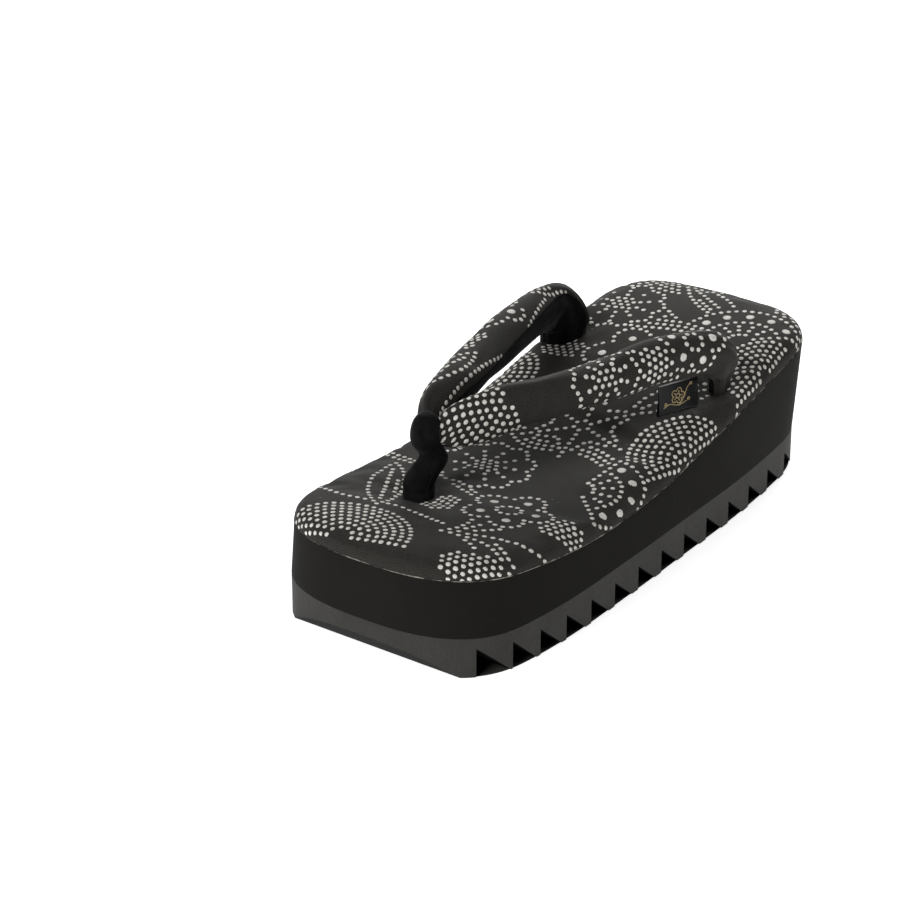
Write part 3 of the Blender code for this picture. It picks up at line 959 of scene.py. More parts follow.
# %% Shape of the tube
FRONT_OUTER, FRONT_INNER = 13, 19      # rows where the arms meet the fold
BACK_OUTER, BACK_INNER = 3, 29         # rows where the arms turn down into the sole
FOLD_ROW = 16
OVAL_POWER = 2.05
PLEATS = 9
PLEAT_DEPTH = 0.42 * MM
PLEAT_REACH = 15 * MM


def distance_from_row(row):
    """How far along the tube each section lies from a row of the table, in metres."""
    return travelled - np.interp(row, row_number, travelled)


def firm_tube(angles, lift):
    """Points on the tube, one row for each section; lift raises them off its surface."""
    cosine, sine = np.cos(angles), np.sin(angles)
    across = np.sign(cosine) * np.abs(cosine) ** (2 / OVAL_POWER)
    through = np.sign(sine) * np.abs(sine) ** (2 / OVAL_POWER)
    rear = np.minimum(np.maximum(distance_from_row(BACK_OUTER), 0),
                      np.maximum(-distance_from_row(BACK_INNER), 0))[:, None]
    front = np.minimum(np.abs(distance_from_row(FRONT_OUTER)),
                       np.abs(distance_from_row(FRONT_INNER)))[:, None]
    gathered = np.exp(-(rear / PLEAT_REACH) ** 2)
    turn = angles * PLEATS + 2.2 * np.sin(2 * angles + 0.6) + rear / (9 * MM)
    folds = PLEAT_DEPTH * gathered * np.cos(turn)
    pinched = 0.25 * MM * np.exp(-((front - 3 * MM) / (7 * MM)) ** 2) * np.cos(6 * angles + 1)
    along = travelled[:, None]
    soft = 0.16 * MM * np.sin(along / (8.3 * MM) + 1.7 * np.sin(2 * angles))
    soft += 0.12 * MM * np.sin(along / (4.9 * MM) + 3 * angles)
    swell = lift + folds + pinched + soft
    width_way = reach / np.linalg.norm(reach, axis=1)[:, None]
    thick_way = np.cross(way, width_way)
    thick_way /= np.linalg.norm(thick_way, axis=1)[:, None]
    half_width = np.linalg.norm(reach, axis=1)[:, None]
    outward = np.stack([cosine * half_thick[:, None], sine * half_width], axis=-1)
    outward /= np.linalg.norm(outward, axis=-1)[..., None]
    w = across * half_width + swell * outward[..., 0]
    t = through * half_thick[:, None] + swell * outward[..., 1]
    return (middle[:, None, :] + w[..., None] * width_way[:, None, :]
            + t[..., None] * thick_way[:, None, :])


# %% Stuffing the strap
STUFFED_SIDES = 48
STRAP_SLACK = 0.005
STRAP_LIMIT = 0.8 * MM


def stuffed_strap():
    """How far stuffing moves the tube, for each section and each of STUFFED_SIDES angles."""
    angles = np.linspace(0, 2 * math.pi, STUFFED_SIDES, endpoint=False)
    grid = firm_tube(np.tile(angles, (len(middle), 1)), 0.0)
    kept = np.unique(np.append(np.arange(0, len(middle), 2), len(middle) - 1))
    points, faces = tube_mesh(grid[kept])
    row = row_number[kept]
    sewn = np.clip(2.2 - np.abs(row - FOLD_ROW), 0, 1)
    sewn = np.maximum(sewn, np.clip(BACK_OUTER - row, 0, 1))
    sewn = np.maximum(sewn, np.clip(row - BACK_INNER, 0, 1))
    move = stuffed(points, faces, np.repeat(sewn, STUFFED_SIDES), STRAP_SLACK, STRAP_LIMIT)
    move = move.reshape(len(kept), -1)
    every = np.arange(len(middle))
    spread = np.column_stack([np.interp(every, kept, column) for column in move.T])
    return spread.reshape(len(middle), STUFFED_SIDES, 3)


def tube(angles, lift):
    """The same points once the tube is stuffed."""
    place = angles / (2 * math.pi) * STUFFED_SIDES
    share = (place - np.floor(place))[..., None]
    before = np.floor(place).astype(int) % STUFFED_SIDES
    section = np.arange(len(middle))[:, None]
    move = (1 - share) * strap_move[section, before]
    move += share * strap_move[section, (before + 1) % STUFFED_SIDES]
    return firm_tube(angles, lift) + move


def tube_mesh(grid):
    """Points and faces of a closed tube whose rows are closed rings."""
    numbers = ring_numbers(*grid.shape[:2])
    return grid.reshape(-1, 3), ring_walls(numbers) + [numbers[0][::-1], numbers[-1]]


strap_move = stuffed_strap()

# %% Lining
LINING_SIDES = 64
LINING_INSET = 0.45 * MM     # it lies under the cloth's turned edges


def make_lining():
    angles = np.tile(np.linspace(0, 2 * math.pi, LINING_SIDES, endpoint=False),
                     (len(middle), 1))
    points, faces = tube_mesh(tube(angles, -LINING_INSET))
    return new_piece("strap_lining", points, faces, velvet, crisp_degrees=70)


lining = make_lining()

# %% [markdown]
# The cloth is a strip that wraps the outside of the tube. Its two long edges are folded
# under and sewn to the velvet. Where they lie is a small table again: degrees round the
# tube from its top edge, towards the foot for one edge and down the outside for the other.

# %% Cloth strip
# columns: row of the strap's table, edge on the foot's side, edge under the outside
CLOTH_EDGES = (
    (0, 66, -178), (2, 68, -178), (3, 70, -178), (5, 74, -178), (7, 76, -178), (10, 78, -178),
    (13, 78, -178), (16, 60, -178), (19, 76, -178), (22, 66, -178), (25, 54, -178),
    (26, 46, -178), (27, 34, -178), (28, 22, -178), (29, 14, -178), (32, 10, -178),
)
CLOTH_THICKNESS = 0.45 * MM
CLOTH_SIDES = 52
CLOTH_FOLD = 0.28            # how far a turned edge stands out, in steps between points


def cloth_edges():
    """Angles of the cloth's two long edges round the tube, at every section."""
    table = np.array(CLOTH_EDGES, float)
    return (np.radians(np.interp(row_number, table[:, 0], table[:, column]))
            for column in (1, 2))


def cloth_grid(lift):
    """Points of the cloth, from its edge on the foot's side over the top and down."""
    start, end = cloth_edges()
    share = np.linspace(0, 1, CLOTH_SIDES)[None, :]
    angles = start[:, None] * (1 - share) + end[:, None] * share
    return tube(angles, lift)


def read_across(table, column):
    """A grid's values at one place of each of its rows, between two columns."""
    whole = np.clip(column.astype(int), 0, CLOTH_SIDES - 2)
    part = (column - whole).reshape(-1, *[1] * (table.ndim - 2))
    number = np.arange(len(table))
    return table[number, whole] * (1 - part) + table[number, whole + 1] * part


def flat_cloth(grid):
    """Where each point of the cloth lay on the table: along from the fold, down from its top."""
    ahead = np.gradient(grid, axis=0)
    ahead /= np.linalg.norm(ahead, axis=-1)[..., None]
    aside = np.diff(grid, axis=1)
    # a row may cross the strap on the slant, so each step aside has a share along and across
    slant = (aside * 0.5 * (ahead[:, 1:] + ahead[:, :-1])).sum(axis=-1)
    across = np.sqrt(np.maximum((aside ** 2).sum(axis=-1) - slant ** 2, 0))
    start, end = cloth_edges()
    none = np.zeros((len(grid), 1))
    down = np.concatenate([none, np.cumsum(across, axis=1)], axis=1)
    drift = np.concatenate([none, np.cumsum(slant, axis=1)], axis=1)
    sides = (CLOTH_SIDES - 1) / (start - end)
    top, face = start * sides, (start + math.pi / 2) * sides
    # the outer face, which shows, is where the length is measured
    steps = np.linalg.norm(np.diff(read_across(grid, face), axis=0), axis=-1)
    length = np.concatenate([[0], np.cumsum(steps)])
    fold = int(np.argmin(np.abs(row_number - FOLD_ROW)))
    along = (length - length[fold] - read_across(drift, face))[:, None] + drift
    return np.stack([along, read_across(down, top)[:, None] - down], axis=-1)


def make_strap_cloth():
    outer = cloth_grid(0.0)
    inner = cloth_grid(-1.3 * CLOTH_THICKNESS)
    flat = flat_cloth(outer)
    # both long edges are folded under, as round as the cloth is thick
    halfway = cloth_grid(-0.5 * CLOTH_THICKNESS)
    first = halfway[:, :1] + (outer[:, :1] - outer[:, 1:2]) * CLOTH_FOLD
    last = halfway[:, -1:] + (outer[:, -1:] - outer[:, -2:-1]) * CLOTH_FOLD
    rings = np.concatenate([outer, last, inner[:, ::-1], first], axis=1)
    laid = np.concatenate([flat, flat[:, -1:], flat[:, ::-1], flat[:, :1]], axis=1)
    points, faces = tube_mesh(rings)
    piece = new_piece("strap_cloth", points, faces, twill, crisp_degrees=70)
    lay_flat(piece, laid.reshape(-1, 2))
    return piece, outer, flat


strap_cloth, strap_worn, strap_flat = make_strap_cloth()
print("strap cloth:", len(strap_cloth.data.polygons), "faces; lining:",
      len(lining.data.polygons))

# %% [markdown]
# ## The dotted print
# The cloth is printed in the manner of Edo komon: pictures built up from rows and fields
# of small dots, in ivory on charcoal. The sheet is designed flat, as a printer would.
# The motifs are old common ones: waves, plum blossom, bamboo leaves, pebbles, the
# hemp-leaf star, folding fans, chrysanthemums and pampas grass, with streams between.

# %% Rows and fields of dots, in millimetres
DOT = 0.94                   # radii
BIG_DOT = 1.75
ROW_PITCH = 3.15
FIELD_PITCH = 2.98
CLEAR = 0.5                  # least cloth between two dots
STRAY = 0.07                 # how far a hand-cut dot is from its place
DOT_SIZES = (0.93, 1.05)     # smallest and largest, as a share of its radius
FAR_AWAY = 1e6


def walked(line, pitch):
    """Points a pitch apart along a line of (x, y) points."""
    line = np.asarray(line, float)
    travelled_so_far = np.concatenate([[0], np.cumsum(np.hypot(*np.diff(line, axis=0).T))])
    count = max(int(round(travelled_so_far[-1] / pitch)), 1)
    at = np.linspace(0, travelled_so_far[-1], count + 1)
    return np.column_stack([np.interp(at, travelled_so_far, line[:, k]) for k in (0, 1)])


def closed(ring, pitch):
    """The same all round a closed outline."""
    return walked(np.vstack([ring, ring[:1]]), pitch)[:-1]


def bent(points):
    """A smooth line through a few points."""
    points = np.asarray(points, float)
    return read_rows(points, np.linspace(0, len(points) - 1, 24 * len(points)))


def within(points, ring):
    """Which points lie inside a closed outline."""
    x, y = points[:, 0, None], points[:, 1, None]
    x0, y0 = ring.T
    x1, y1 = np.roll(ring, -1, axis=0).T
    crosses = (y0 > y) != (y1 > y)
    rise = np.where(y1 == y0, 1, y1 - y0)
    hits = crosses & (x < x0 + (y - y0) / rise * (x1 - x0))
    return hits.sum(axis=1) % 2 == 1


def field(ring):
    """Closely packed dots inside an outline."""
    low, high = ring.min(axis=0), ring.max(axis=0)
    step = FIELD_PITCH * math.sqrt(3) / 2
    dots = [(x + (row % 2) * FIELD_PITCH / 2, y)
            for row, y in enumerate(np.arange(low[1], high[1], step))
            for x in np.arange(low[0], high[0], FIELD_PITCH)]
    dots = np.array(dots)
    return dots[within(dots, ring)]


def polar(radius, degrees):
    """Points at a distance and a turn from the middle."""
    angle = np.radians(degrees)
    return np.column_stack([radius * np.cos(angle), radius * np.sin(angle)])


def arc(radius, start, end):
    return polar(radius, np.linspace(start, end, 60))


# %% The motifs
# each gives its rows, as (points, radius of the dots), and the outline that it covers
def wave_fan(size):
    """Seigaiha: nested half circles, the sign for waves."""
    rows = [walked(arc(radius, 4, 176), FIELD_PITCH)
            for radius in np.arange(size, 3, -FIELD_PITCH)]
    return [(np.vstack(rows), DOT)], arc(size + 1.5, -4, 184)


def blossom(size):
    """Plum blossom: five round petals, a ring of stamens and a seed in each petal."""
    degrees = np.linspace(0, 360, 240, endpoint=False)
    ring = polar(size * (0.62 + 0.38 * np.abs(np.cos(np.radians(2.5 * degrees))) ** 0.75), degrees)
    seeds = polar(0.62 * size, np.arange(5) * 72)
    stamens = closed(arc(0.27 * size, 0, 354), 0.9 * ROW_PITCH)
    return [(closed(ring, ROW_PITCH), DOT), (seeds, BIG_DOT), (stamens, DOT)], ring * 1.06


def leaf(size):
    """A bamboo leaf: bare above its midrib and filled below."""
    t = np.linspace(0, 1, 60)
    upper = np.column_stack([size * (2 * t - 1), 0.3 * size * np.sin(math.pi * t) ** 0.8])
    ring = np.vstack([upper, upper[-2:0:-1] * (1, -1)])
    below = np.vstack([upper * (1, 0), upper[-2:0:-1] * (1, -1)])
    rib = walked(upper * (0.94, 0), ROW_PITCH)
    return [(closed(ring, ROW_PITCH), DOT), (rib, DOT), (field(below), DOT)], ring * 1.04


def pebble(size):
    """A smooth stone, filled."""
    degrees = np.linspace(0, 360, 80, endpoint=False)
    swell = 0.86 + 0.10 * np.cos(np.radians(2 * degrees + 34))
    ring = polar(size * (swell + 0.07 * np.cos(np.radians(3 * degrees))), degrees)
    return [(field(ring), DOT)], ring * 1.05


def hemp_star(size):
    """Asanoha: the six-pointed hemp leaf star, in single rows."""
    tips, dips = polar(size, np.arange(6) * 60 + 30), polar(0.5 * size, np.arange(6) * 60)
    rows = [walked([(0, 0), tip], ROW_PITCH)[1:] for tip in tips]
    rows += [walked([tips[k - 1], dips[k], tips[k]], ROW_PITCH) for k in range(6)]
    ring = np.array([p for k in range(6) for p in (dips[k], tips[k])])
    return [(np.vstack(rows), DOT)], ring


def open_fan(size):
    """A folding fan: ribs from its pivot, and two rows of paper with seeds between."""
    inner = 0.62 * size
    rows = [walked(arc(size, 25, 155), ROW_PITCH), walked(arc(inner, 25, 155), ROW_PITCH)]
    for degrees in np.linspace(25, 155, 6):
        rows.append(walked(polar(np.array([0.22 * size, inner]), degrees), ROW_PITCH))
    for degrees in (25, 155):
        rows.append(walked(polar(np.array([inner, size]), degrees), ROW_PITCH))
    seeds = polar(0.81 * size, np.linspace(38, 142, 5))
    ring = np.vstack([arc(1.05 * size, 22, 158), arc(0.18 * size, 158, 22)])
    return [(np.vstack(rows), DOT), (seeds, BIG_DOT)], ring


def chrysanthemum(size):
    """A chrysanthemum from above: a filled heart and a round of outlined petals."""
    degrees = np.linspace(0, 360, 360, endpoint=False)
    ring = polar(size * (0.86 + 0.14 * np.abs(np.cos(np.radians(5 * degrees)))), degrees)
    rows = [closed(ring, ROW_PITCH), field(polar(0.33 * size, np.arange(0, 360, 9)))]
    for degrees in np.arange(18, 360, 36):
        rows.append(walked(polar(np.array([0.42, 0.8]) * size, degrees), ROW_PITCH))
    return [(np.vstack(rows), DOT)], ring * 1.05


def grass(size):
    """Pampas grass: blades that spread from one root and bend over."""
    share = np.linspace(0.12, 1, 40)
    rows = [walked(polar(share * size, 90 - lean * (0.5 + 0.8 * share ** 1.5)), ROW_PITCH)
            for lean in (-38, -22, -7, 9, 26, 42)]
    ring = polar(size * np.array([0.05, 1, 1.02, 1]), np.array([90, 140, 90, 40]))
    return [(np.vstack(rows), DOT)], ring


MOTIFS = {f.__name__: f for f in (wave_fan, blossom, leaf, pebble, hemp_star, open_fan,
                                  chrysanthemum, grass)}


# %% [markdown]
# A motif that stands higher in the table lies in front, so it hides what falls inside its
# outline, as layers of a paper stencil do. The small shifts come from a fixed seed.

# %% Laying out a sheet
def laid_out(motifs, streams, seed):
    """Every dot of a print, as rows of x, y and radius in millimetres."""
    random = np.random.default_rng(seed)
    dots = np.full((1, 3), FAR_AWAY)
    hidden = []

    def printed(dots, points, radius):
        points = points + random.normal(0, STRAY, points.shape)
        for ring in hidden:
            points = points[~within(points, ring)]
        for x, y in points:
            gaps = np.hypot(dots[:, 0] - x, dots[:, 1] - y) - dots[:, 2] - radius
            if gaps.min() > CLEAR:
                dots = np.vstack([dots, (x, y, radius * random.uniform(*DOT_SIZES))])
        return dots

    for kind, x, y, size, turn in motifs:
        rows, cover = MOTIFS[kind](size)
        cosine, sine = math.cos(math.radians(turn)), math.sin(math.radians(turn))
        spin = np.array([[cosine, sine], [-sine, cosine]])
        for points, radius in rows:
            dots = printed(dots, points @ spin + (x, y), radius)
        hidden.append(cover @ spin + (x, y))
    for count, *points in streams:
        line = bent(points)
        run = np.gradient(line, axis=0)
        beside = np.column_stack([-run[:, 1], run[:, 0]]) / np.hypot(*run.T)[:, None]
        for k in range(count):
            dots = printed(dots, walked(line + beside * FIELD_PITCH * k, FIELD_PITCH), DOT)
    return dots[1:]


# %% The footbed's sheet
# columns: motif, x, y, size, turn; millimetres and degrees
FOOTBED_MOTIFS = (
    ("blossom", 21, -62, 17, 12),
    ("wave_fan", -12, -120, 26, 8),
    ("pebble", 38, -110, 12, 60),
    ("leaf", -27, -72, 21, 118),
    ("open_fan", 30, -30, 25, -68),
    ("chrysanthemum", -10, -34, 19, 0),
    ("wave_fan", 52, 12, 24, 78),
    ("hemp_star", 4, 10, 23, 12),
    ("pebble", -38, -18, 14, 80),
    ("wave_fan", -52, 24, 21, -100),
    ("leaf", 26, 40, 21, 62),
    ("wave_fan", 48, 74, 19, 96),
    ("blossom", -4, 56, 20, 50),
    ("pebble", -34, 52, 11, 10),
    ("open_fan", 28, 84, 25, 20),
    ("chrysanthemum", -30, 88, 18, 14),
    ("leaf", 2, 106, 21, -30),
    ("wave_fan", -20, 128, 22, 186),
    ("wave_fan", 44, 122, 19, 150),
    ("grass", 14, -98, 24, -50),
    ("pebble", -2, -72, 9, 100),
    ("pebble", 44, -62, 11, 20),
)
# how many rows side by side, then the points that they pass
FOOTBED_STREAMS = (
    (1, (-60, -84), (-34, -92), (-8, -86), (22, -90), (60, -78)),
    (2, (-60, -46), (-30, -50), (4, -60), (20, -86), (60, -104)),
    (3, (-60, 0), (-34, 4), (-8, -12), (20, -8), (60, -30)),
    (3, (-60, 66), (-20, 74), (10, 80), (30, 60), (60, 48)),
    (2, (-60, 104), (-36, 108), (0, 84), (40, 104), (60, 100)),
)
footbed_dots = laid_out(FOOTBED_MOTIFS, FOOTBED_STREAMS, seed=7)
print("footbed print:", len(footbed_dots), "dots")

# %% The strap's strip
# along the strap from its fold, with the outer arm below zero; down from its top edge
STRAP_MOTIFS = (
    ("wave_fan", -34.5, -8, 27, 258),
    ("chrysanthemum", -76, -11, 15, 6),
    ("pebble", -97, -12, 10, 40),
    ("blossom", -118, -6, 14, 30),
    ("pebble", -14, -16, 8, 0),
    ("leaf", 34, -4, 18, 14),
    ("pebble", 60, -8, 9, 30),
    ("blossom", 86, -10, 14, 10),
    ("wave_fan", 118, -10, 14, 90),
)
STRAP_STREAMS = (
    (2, (-127, -14), (-110, -20), (-88, -24), (-66, -30)),
    (1, (-64, 12), (-92, 4), (-118, 6), (-128, 0)),
    (1, (14, 8), (44, 6), (74, 10), (110, 4), (150, 6)),
    (1, (16, -14), (46, -18), (70, -20), (104, -24), (150, -20)),
)
strap_dots = laid_out(STRAP_MOTIFS, STRAP_STREAMS, seed=11)
print("strap print:", len(strap_dots), "dots")

# %% [markdown]
# ### Putting the print on the cloth
# A Geometry Nodes tree prints the sheet. It sets one low dome of ink on each point while
# the cloth lies flat. Then each corner of each dome looks up where that spot of the flat
# cloth is worn, and moves there. The ink so follows every fold, as it does in cloth.

# %% Pigment ink
INK_THREAD = 0.5 * MM
INK_PATCH = 5 * MM
INK_RELIEF = 0.08 * MM


def make_ink():
    """Pigment printed over dark cotton: matt, ivory, thinner where a thread stands up."""
    material, tree, shader = new_material("ivory pigment print", {"Roughness": 0.8})
    place = add_node(tree, "ShaderNodeTexCoord").outputs["Object"]
    threads = add_node(tree, "ShaderNodeTexNoise",
                       {"Vector": place, "Scale": 1 / INK_THREAD, "Detail": 3.0})
    patches = add_node(tree, "ShaderNodeTexNoise",
                       {"Vector": place, "Scale": 1 / INK_PATCH, "Detail": 2.0})
    both = add_node(tree, "ShaderNodeMath",
                    {0: threads.outputs["Fac"], 1: patches.outputs["Fac"]}, operation="ADD")
    thin = add_node(tree, "ShaderNodeMapRange", {0: both.outputs[0], 1: 0.75, 2: 1.3})
    ivory = add_node(tree, "ShaderNodeMix", {0: thin.outputs[0], 6: linear("#F4F1EC"),
                                             7: linear("#D6D1C8")}, data_type="RGBA")
    bump = add_node(tree, "ShaderNodeBump", {"Height": threads.outputs["Fac"], "Strength": 0.4,
                                             "Distance": INK_RELIEF})
    return finished(material, shader, ivory, bump)


ink = make_ink()

# %% The printing tree
INK_HEIGHT = 0.09 * MM


def print_tree():
    tree, given = new_tree("dotted print",
                           {"Points": "Geometry", "Cloth": "Object", "Ink height": "Float",
                            "Ink": "Material"})
    radius = add_node(tree, "GeometryNodeInputNamedAttribute", {"Name": "dot_radius"},
                      data_type="FLOAT")
    ball = add_node(tree, "GeometryNodeMeshUVSphere", {"Segments": 12, "Rings": 4, "Radius": 1.0})
    size = add_node(tree, "ShaderNodeCombineXYZ",
                    {"X": radius.outputs[0], "Y": radius.outputs[0],
                     "Z": given.outputs["Ink height"]})
    drops = add_node(tree, "GeometryNodeInstanceOnPoints",
                     {"Points": given.outputs["Points"], "Instance": ball.outputs[0],
                      "Scale": size.outputs[0]})
    plain = add_node(tree, "GeometryNodeRealizeInstances", {0: drops.outputs[0]})
    cloth = add_node(tree, "GeometryNodeObjectInfo", {"Object": given.outputs["Cloth"]})
    here = add_node(tree, "GeometryNodeInputPosition")
    parts = add_node(tree, "ShaderNodeSeparateXYZ", {0: here.outputs[0]})
    laid = add_node(tree, "ShaderNodeCombineXYZ", {"X": parts.outputs[0], "Y": parts.outputs[1]})
    found = []
    for name in ("worn_place", "worn_normal"):
        stored = add_node(tree, "GeometryNodeInputNamedAttribute", {"Name": name},
                          data_type="FLOAT_VECTOR")
        sample = add_node(tree, "GeometryNodeSampleNearestSurface",
                          {"Mesh": cloth.outputs["Geometry"], "Value": stored.outputs[0],
                           "Sample Position": laid.outputs[0]}, data_type="FLOAT_VECTOR")
        found.append(sample.outputs[0])
    lifted = add_node(tree, "ShaderNodeVectorMath", {0: found[1], "Scale": parts.outputs[2]},
                      operation="SCALE")
    worn = add_node(tree, "ShaderNodeVectorMath", {0: found[0], 1: lifted.outputs[0]},
                    operation="ADD")
    moved = add_node(tree, "GeometryNodeSetPosition",
                     {"Geometry": plain.outputs[0], "Position": worn.outputs[0]})
    smooth = add_node(tree, "GeometryNodeSetShadeSmooth", {0: moved.outputs[0]})
    finish = add_node(tree, "GeometryNodeSetMaterial",
                      {"Geometry": smooth.outputs[0], "Material": given.outputs["Ink"]})
    add_node(tree, "NodeGroupOutput", {0: finish.outputs[0]})
    return tree


printing = print_tree()


# %% Printing a sheet
def printed_on(name, dots, flat, place, normal, faces, height=INK_HEIGHT, pigment=ink):
    """The dots of a sheet (millimetres) on a cloth that is known flat and worn (metres)."""
    cloth_mesh = bpy.data.meshes.new("flat_cloth")
    cloth_mesh.from_pydata([(x, y, 0.0) for x, y in flat], [], faces)
    for label, values in (("worn_place", place), ("worn_normal", normal)):
        layer = cloth_mesh.attributes.new(label, "FLOAT_VECTOR", "POINT")
        layer.data.foreach_set("vector", np.asarray(values, float).ravel())
    sheet_mesh = bpy.data.meshes.new("sheet")
    sheet_mesh.from_pydata([(x * MM, y * MM, 0.0) for x, y, _ in dots], [], [])
    layer = sheet_mesh.attributes.new("dot_radius", "FLOAT", "POINT")
    layer.data.foreach_set("value", dots[:, 2] * MM)
    cloth, sheet = placed("flat_cloth", cloth_mesh), placed("sheet", sheet_mesh)
    piece = grown(name, sheet, printing, **{"Cloth": cloth, "Ink height": height, "Ink": pigment})
    discard(cloth, sheet)
    return piece


# %% The printed footbed
def mesh_arrays(piece):
    """Places and normals of a piece's points."""
    count = len(piece.data.vertices)
    place, normal = np.zeros(3 * count, np.float32), np.zeros(3 * count, np.float32)
    piece.data.vertices.foreach_get("co", place)
    piece.data.vertex_normals.foreach_get("vector", normal)
    return place.reshape(-1, 3), normal.reshape(-1, 3)


def print_footbed():
    place, normal = mesh_arrays(footbed)
    faces = [list(f.vertices) for f in footbed.data.polygons
             if max(f.vertices) < footbed_top]
    edge = closed(outline_at(even_angles(OUTLINE_STEPS), CLOTH, footbed_rings()[0][2],
                             HEEL_OVERHANG) / MM, 1.0)
    dots = footbed_dots[within(footbed_dots[:, :2], edge)]
    return printed_on("footbed_print", dots, footbed_flat[:footbed_top], place[:footbed_top],
                      normal[:footbed_top], faces)


footbed_print = print_footbed()
print("footbed print:", len(footbed_print.data.polygons), "faces")


# %% The printed strap
def grid_faces(rows, columns):
    """Quads of a sheet whose points are numbered row by row."""
    number = np.arange(rows * columns).reshape(rows, columns)
    corners = [number[:-1, :-1], number[:-1, 1:], number[1:, 1:], number[1:, :-1]]
    return np.stack(corners, axis=-1).reshape(-1, 4).tolist()


def print_strap():
    rows, columns = strap_worn.shape[:2]
    faces = grid_faces(rows, columns)
    along = np.gradient(strap_worn, axis=0)
    down = np.gradient(strap_worn, axis=1)
    normal = np.cross(down, along)
    normal /= np.linalg.norm(normal, axis=-1)[..., None]
    outward = strap_worn - middle[:, None, :]
    normal *= np.sign((normal * outward).sum(axis=-1).mean())
    edge = np.vstack([strap_flat[:, 0], strap_flat[::-1, -1]]) / MM
    dots = strap_dots[within(strap_dots[:, :2], edge)]
    return printed_on("strap_print", dots, strap_flat.reshape(-1, 2), strap_worn.reshape(-1, 3),
                      normal.reshape(-1, 3), faces)


strap_print = print_strap()
print("strap print:", len(strap_print.data.polygons), "faces")

# %% [markdown]
# ## The toe post
# A velvet strip goes up through the sole, over the fold of the strap and down again. Its
# two halves are squeezed together below the fold and spread where they enter the sole.
# Pulled tight round soft padding it turns into one smooth knuckle on a flared stem, with
# a crease down each side where the halves meet, so it is lofted from rings.

# %% Toe post
# columns: height, x, y, half width across and along the sandal; millimetres
POST_ROWS = (
    (34.0, -13.0, -70.8, 4.8, 5.8),
    (41.0, -13.0, -70.8, 5.3, 6.3),
    (43.0, -13.4, -70.4, 5.4, 6.0),
    (44.8, -13.6, -70.0, 5.6, 6.2),
    (47.6, -13.6, -67.9, 5.8, 6.8),
    (50.4, -12.9, -64.8, 5.5, 7.0),
    (53.0, -12.7, -62.3, 4.8, 6.0),
    (55.2, -13.2, -62.8, 4.8, 5.3),
    (58.4, -14.3, -64.2, 5.1, 5.5),
    (62.4, -14.5, -64.7, 5.3, 5.7),
    (66.2, -14.5, -64.7, 4.9, 5.3),
    (68.6, -14.5, -64.5, 3.9, 4.3),
    (69.9, -14.5, -64.3, 2.5, 2.9),
    (70.3, -14.5, -64.3, 0.8, 1.0),
)
POST_SIDES = 72
POST_RINGS = 90
POST_SQUARENESS = (2.4, 2.2)  # across and along the sandal, where 2 is an oval
POST_CREASE = 0.7
CREASE_TOP = 56.0            # the two halves part below this height
NECK_HEIGHT = 54.2           # where the strip is pulled tightest, under the fold
NECK_DEPTH = 0.25


def make_post():
    rows = np.array(POST_ROWS)
    table = read_rows(rows, np.linspace(0, len(rows) - 1, POST_RINGS))
    height, x, y, across, along = table.T[:, :, None]
    angles = np.linspace(0, 2 * math.pi, POST_SIDES, endpoint=False)[None, :]
    cosine, sine = np.cos(angles), np.sin(angles)
    below_fold = 1 / (1 + np.exp((height - CREASE_TOP) / 1.2))
    crease = POST_CREASE * below_fold * np.exp(-(sine / 0.22) ** 2)
    crease = crease + NECK_DEPTH * np.exp(-((height - NECK_HEIGHT) / 1.3) ** 2)
    soft = 0.16 * np.sin(height / 2.7 + 3 * angles) + 0.12 * np.sin(5 * angles + height / 4)
    fade = np.clip(across / 4, 0, 1)
    drawn_in = (crease - soft) * fade
    x_power, y_power = (2 / number for number in POST_SQUARENESS)
    px = x + (across - drawn_in) * np.sign(cosine) * np.abs(cosine) ** x_power
    py = y + (along - drawn_in) * np.sign(sine) * np.abs(sine) ** y_power
    grid = np.stack([px, py, np.broadcast_to(height, px.shape)], axis=-1) * MM
    points, faces = tube_mesh(grid)
    return new_piece("toe_post_velvet", points, faces, velvet, crisp_degrees=70)


post = make_post()
print("toe post:", len(post.data.polygons), "faces")

# %% [markdown]
# ## The tag
# A loop of black satin ribbon, caught in the seam under the outer arm. Its fold stands out
# and rests toward the footbed's edge. The ribbon is swept: down its front, round the fold
# and up its back. A little plum blossom is worked on it in gilt thread, in tiny knots,
# which the printing tree sets on the ribbon just as it set the ink on the cloth.

# %% Satin ribbon
RIBBON_RIB = 0.5 * MM        # real picks are about 0.15 mm apart, drawn coarser to show
RIBBON_SHADE = 3 * MM
RIBBON_RELIEF = 0.08 * MM


def make_ribbon():
    """Woven satin: black, with a silky gloss that fine cross threads break up."""
    material, tree, shader = new_material(
        "black satin ribbon", {"Roughness": 0.42, "Specular IOR Level": 0.35,
                               "Sheen Weight": 0.15, "Sheen Roughness": 0.3})
    cloth = add_node(tree, "ShaderNodeUVMap", uv_map="cloth").outputs[0]
    picks = add_node(tree, "ShaderNodeTexWave",
                     {"Vector": cloth, "Scale": WAVE_PERIOD / RIBBON_RIB, "Distortion": 0.4,
                      "Detail": 2.0}, bands_direction="Y")
    shade = add_node(tree, "ShaderNodeTexNoise", {"Vector": cloth, "Scale": 1 / RIBBON_SHADE})
    both = add_node(tree, "ShaderNodeMath",
                    {0: picks.outputs["Fac"], 1: shade.outputs["Fac"]}, operation="MULTIPLY")
    black = add_node(tree, "ShaderNodeMix", {0: both.outputs[0], 6: linear("#060607"),
                                             7: linear("#1C1B1D")}, data_type="RGBA")
    bump = add_node(tree, "ShaderNodeBump", {"Height": picks.outputs["Fac"], "Strength": 0.35,
                                             "Distance": RIBBON_RELIEF})
    return finished(material, shader, black, bump)


ribbon = make_ribbon()

# %% Gilt thread
GILT_WINDING = 0.4 * MM


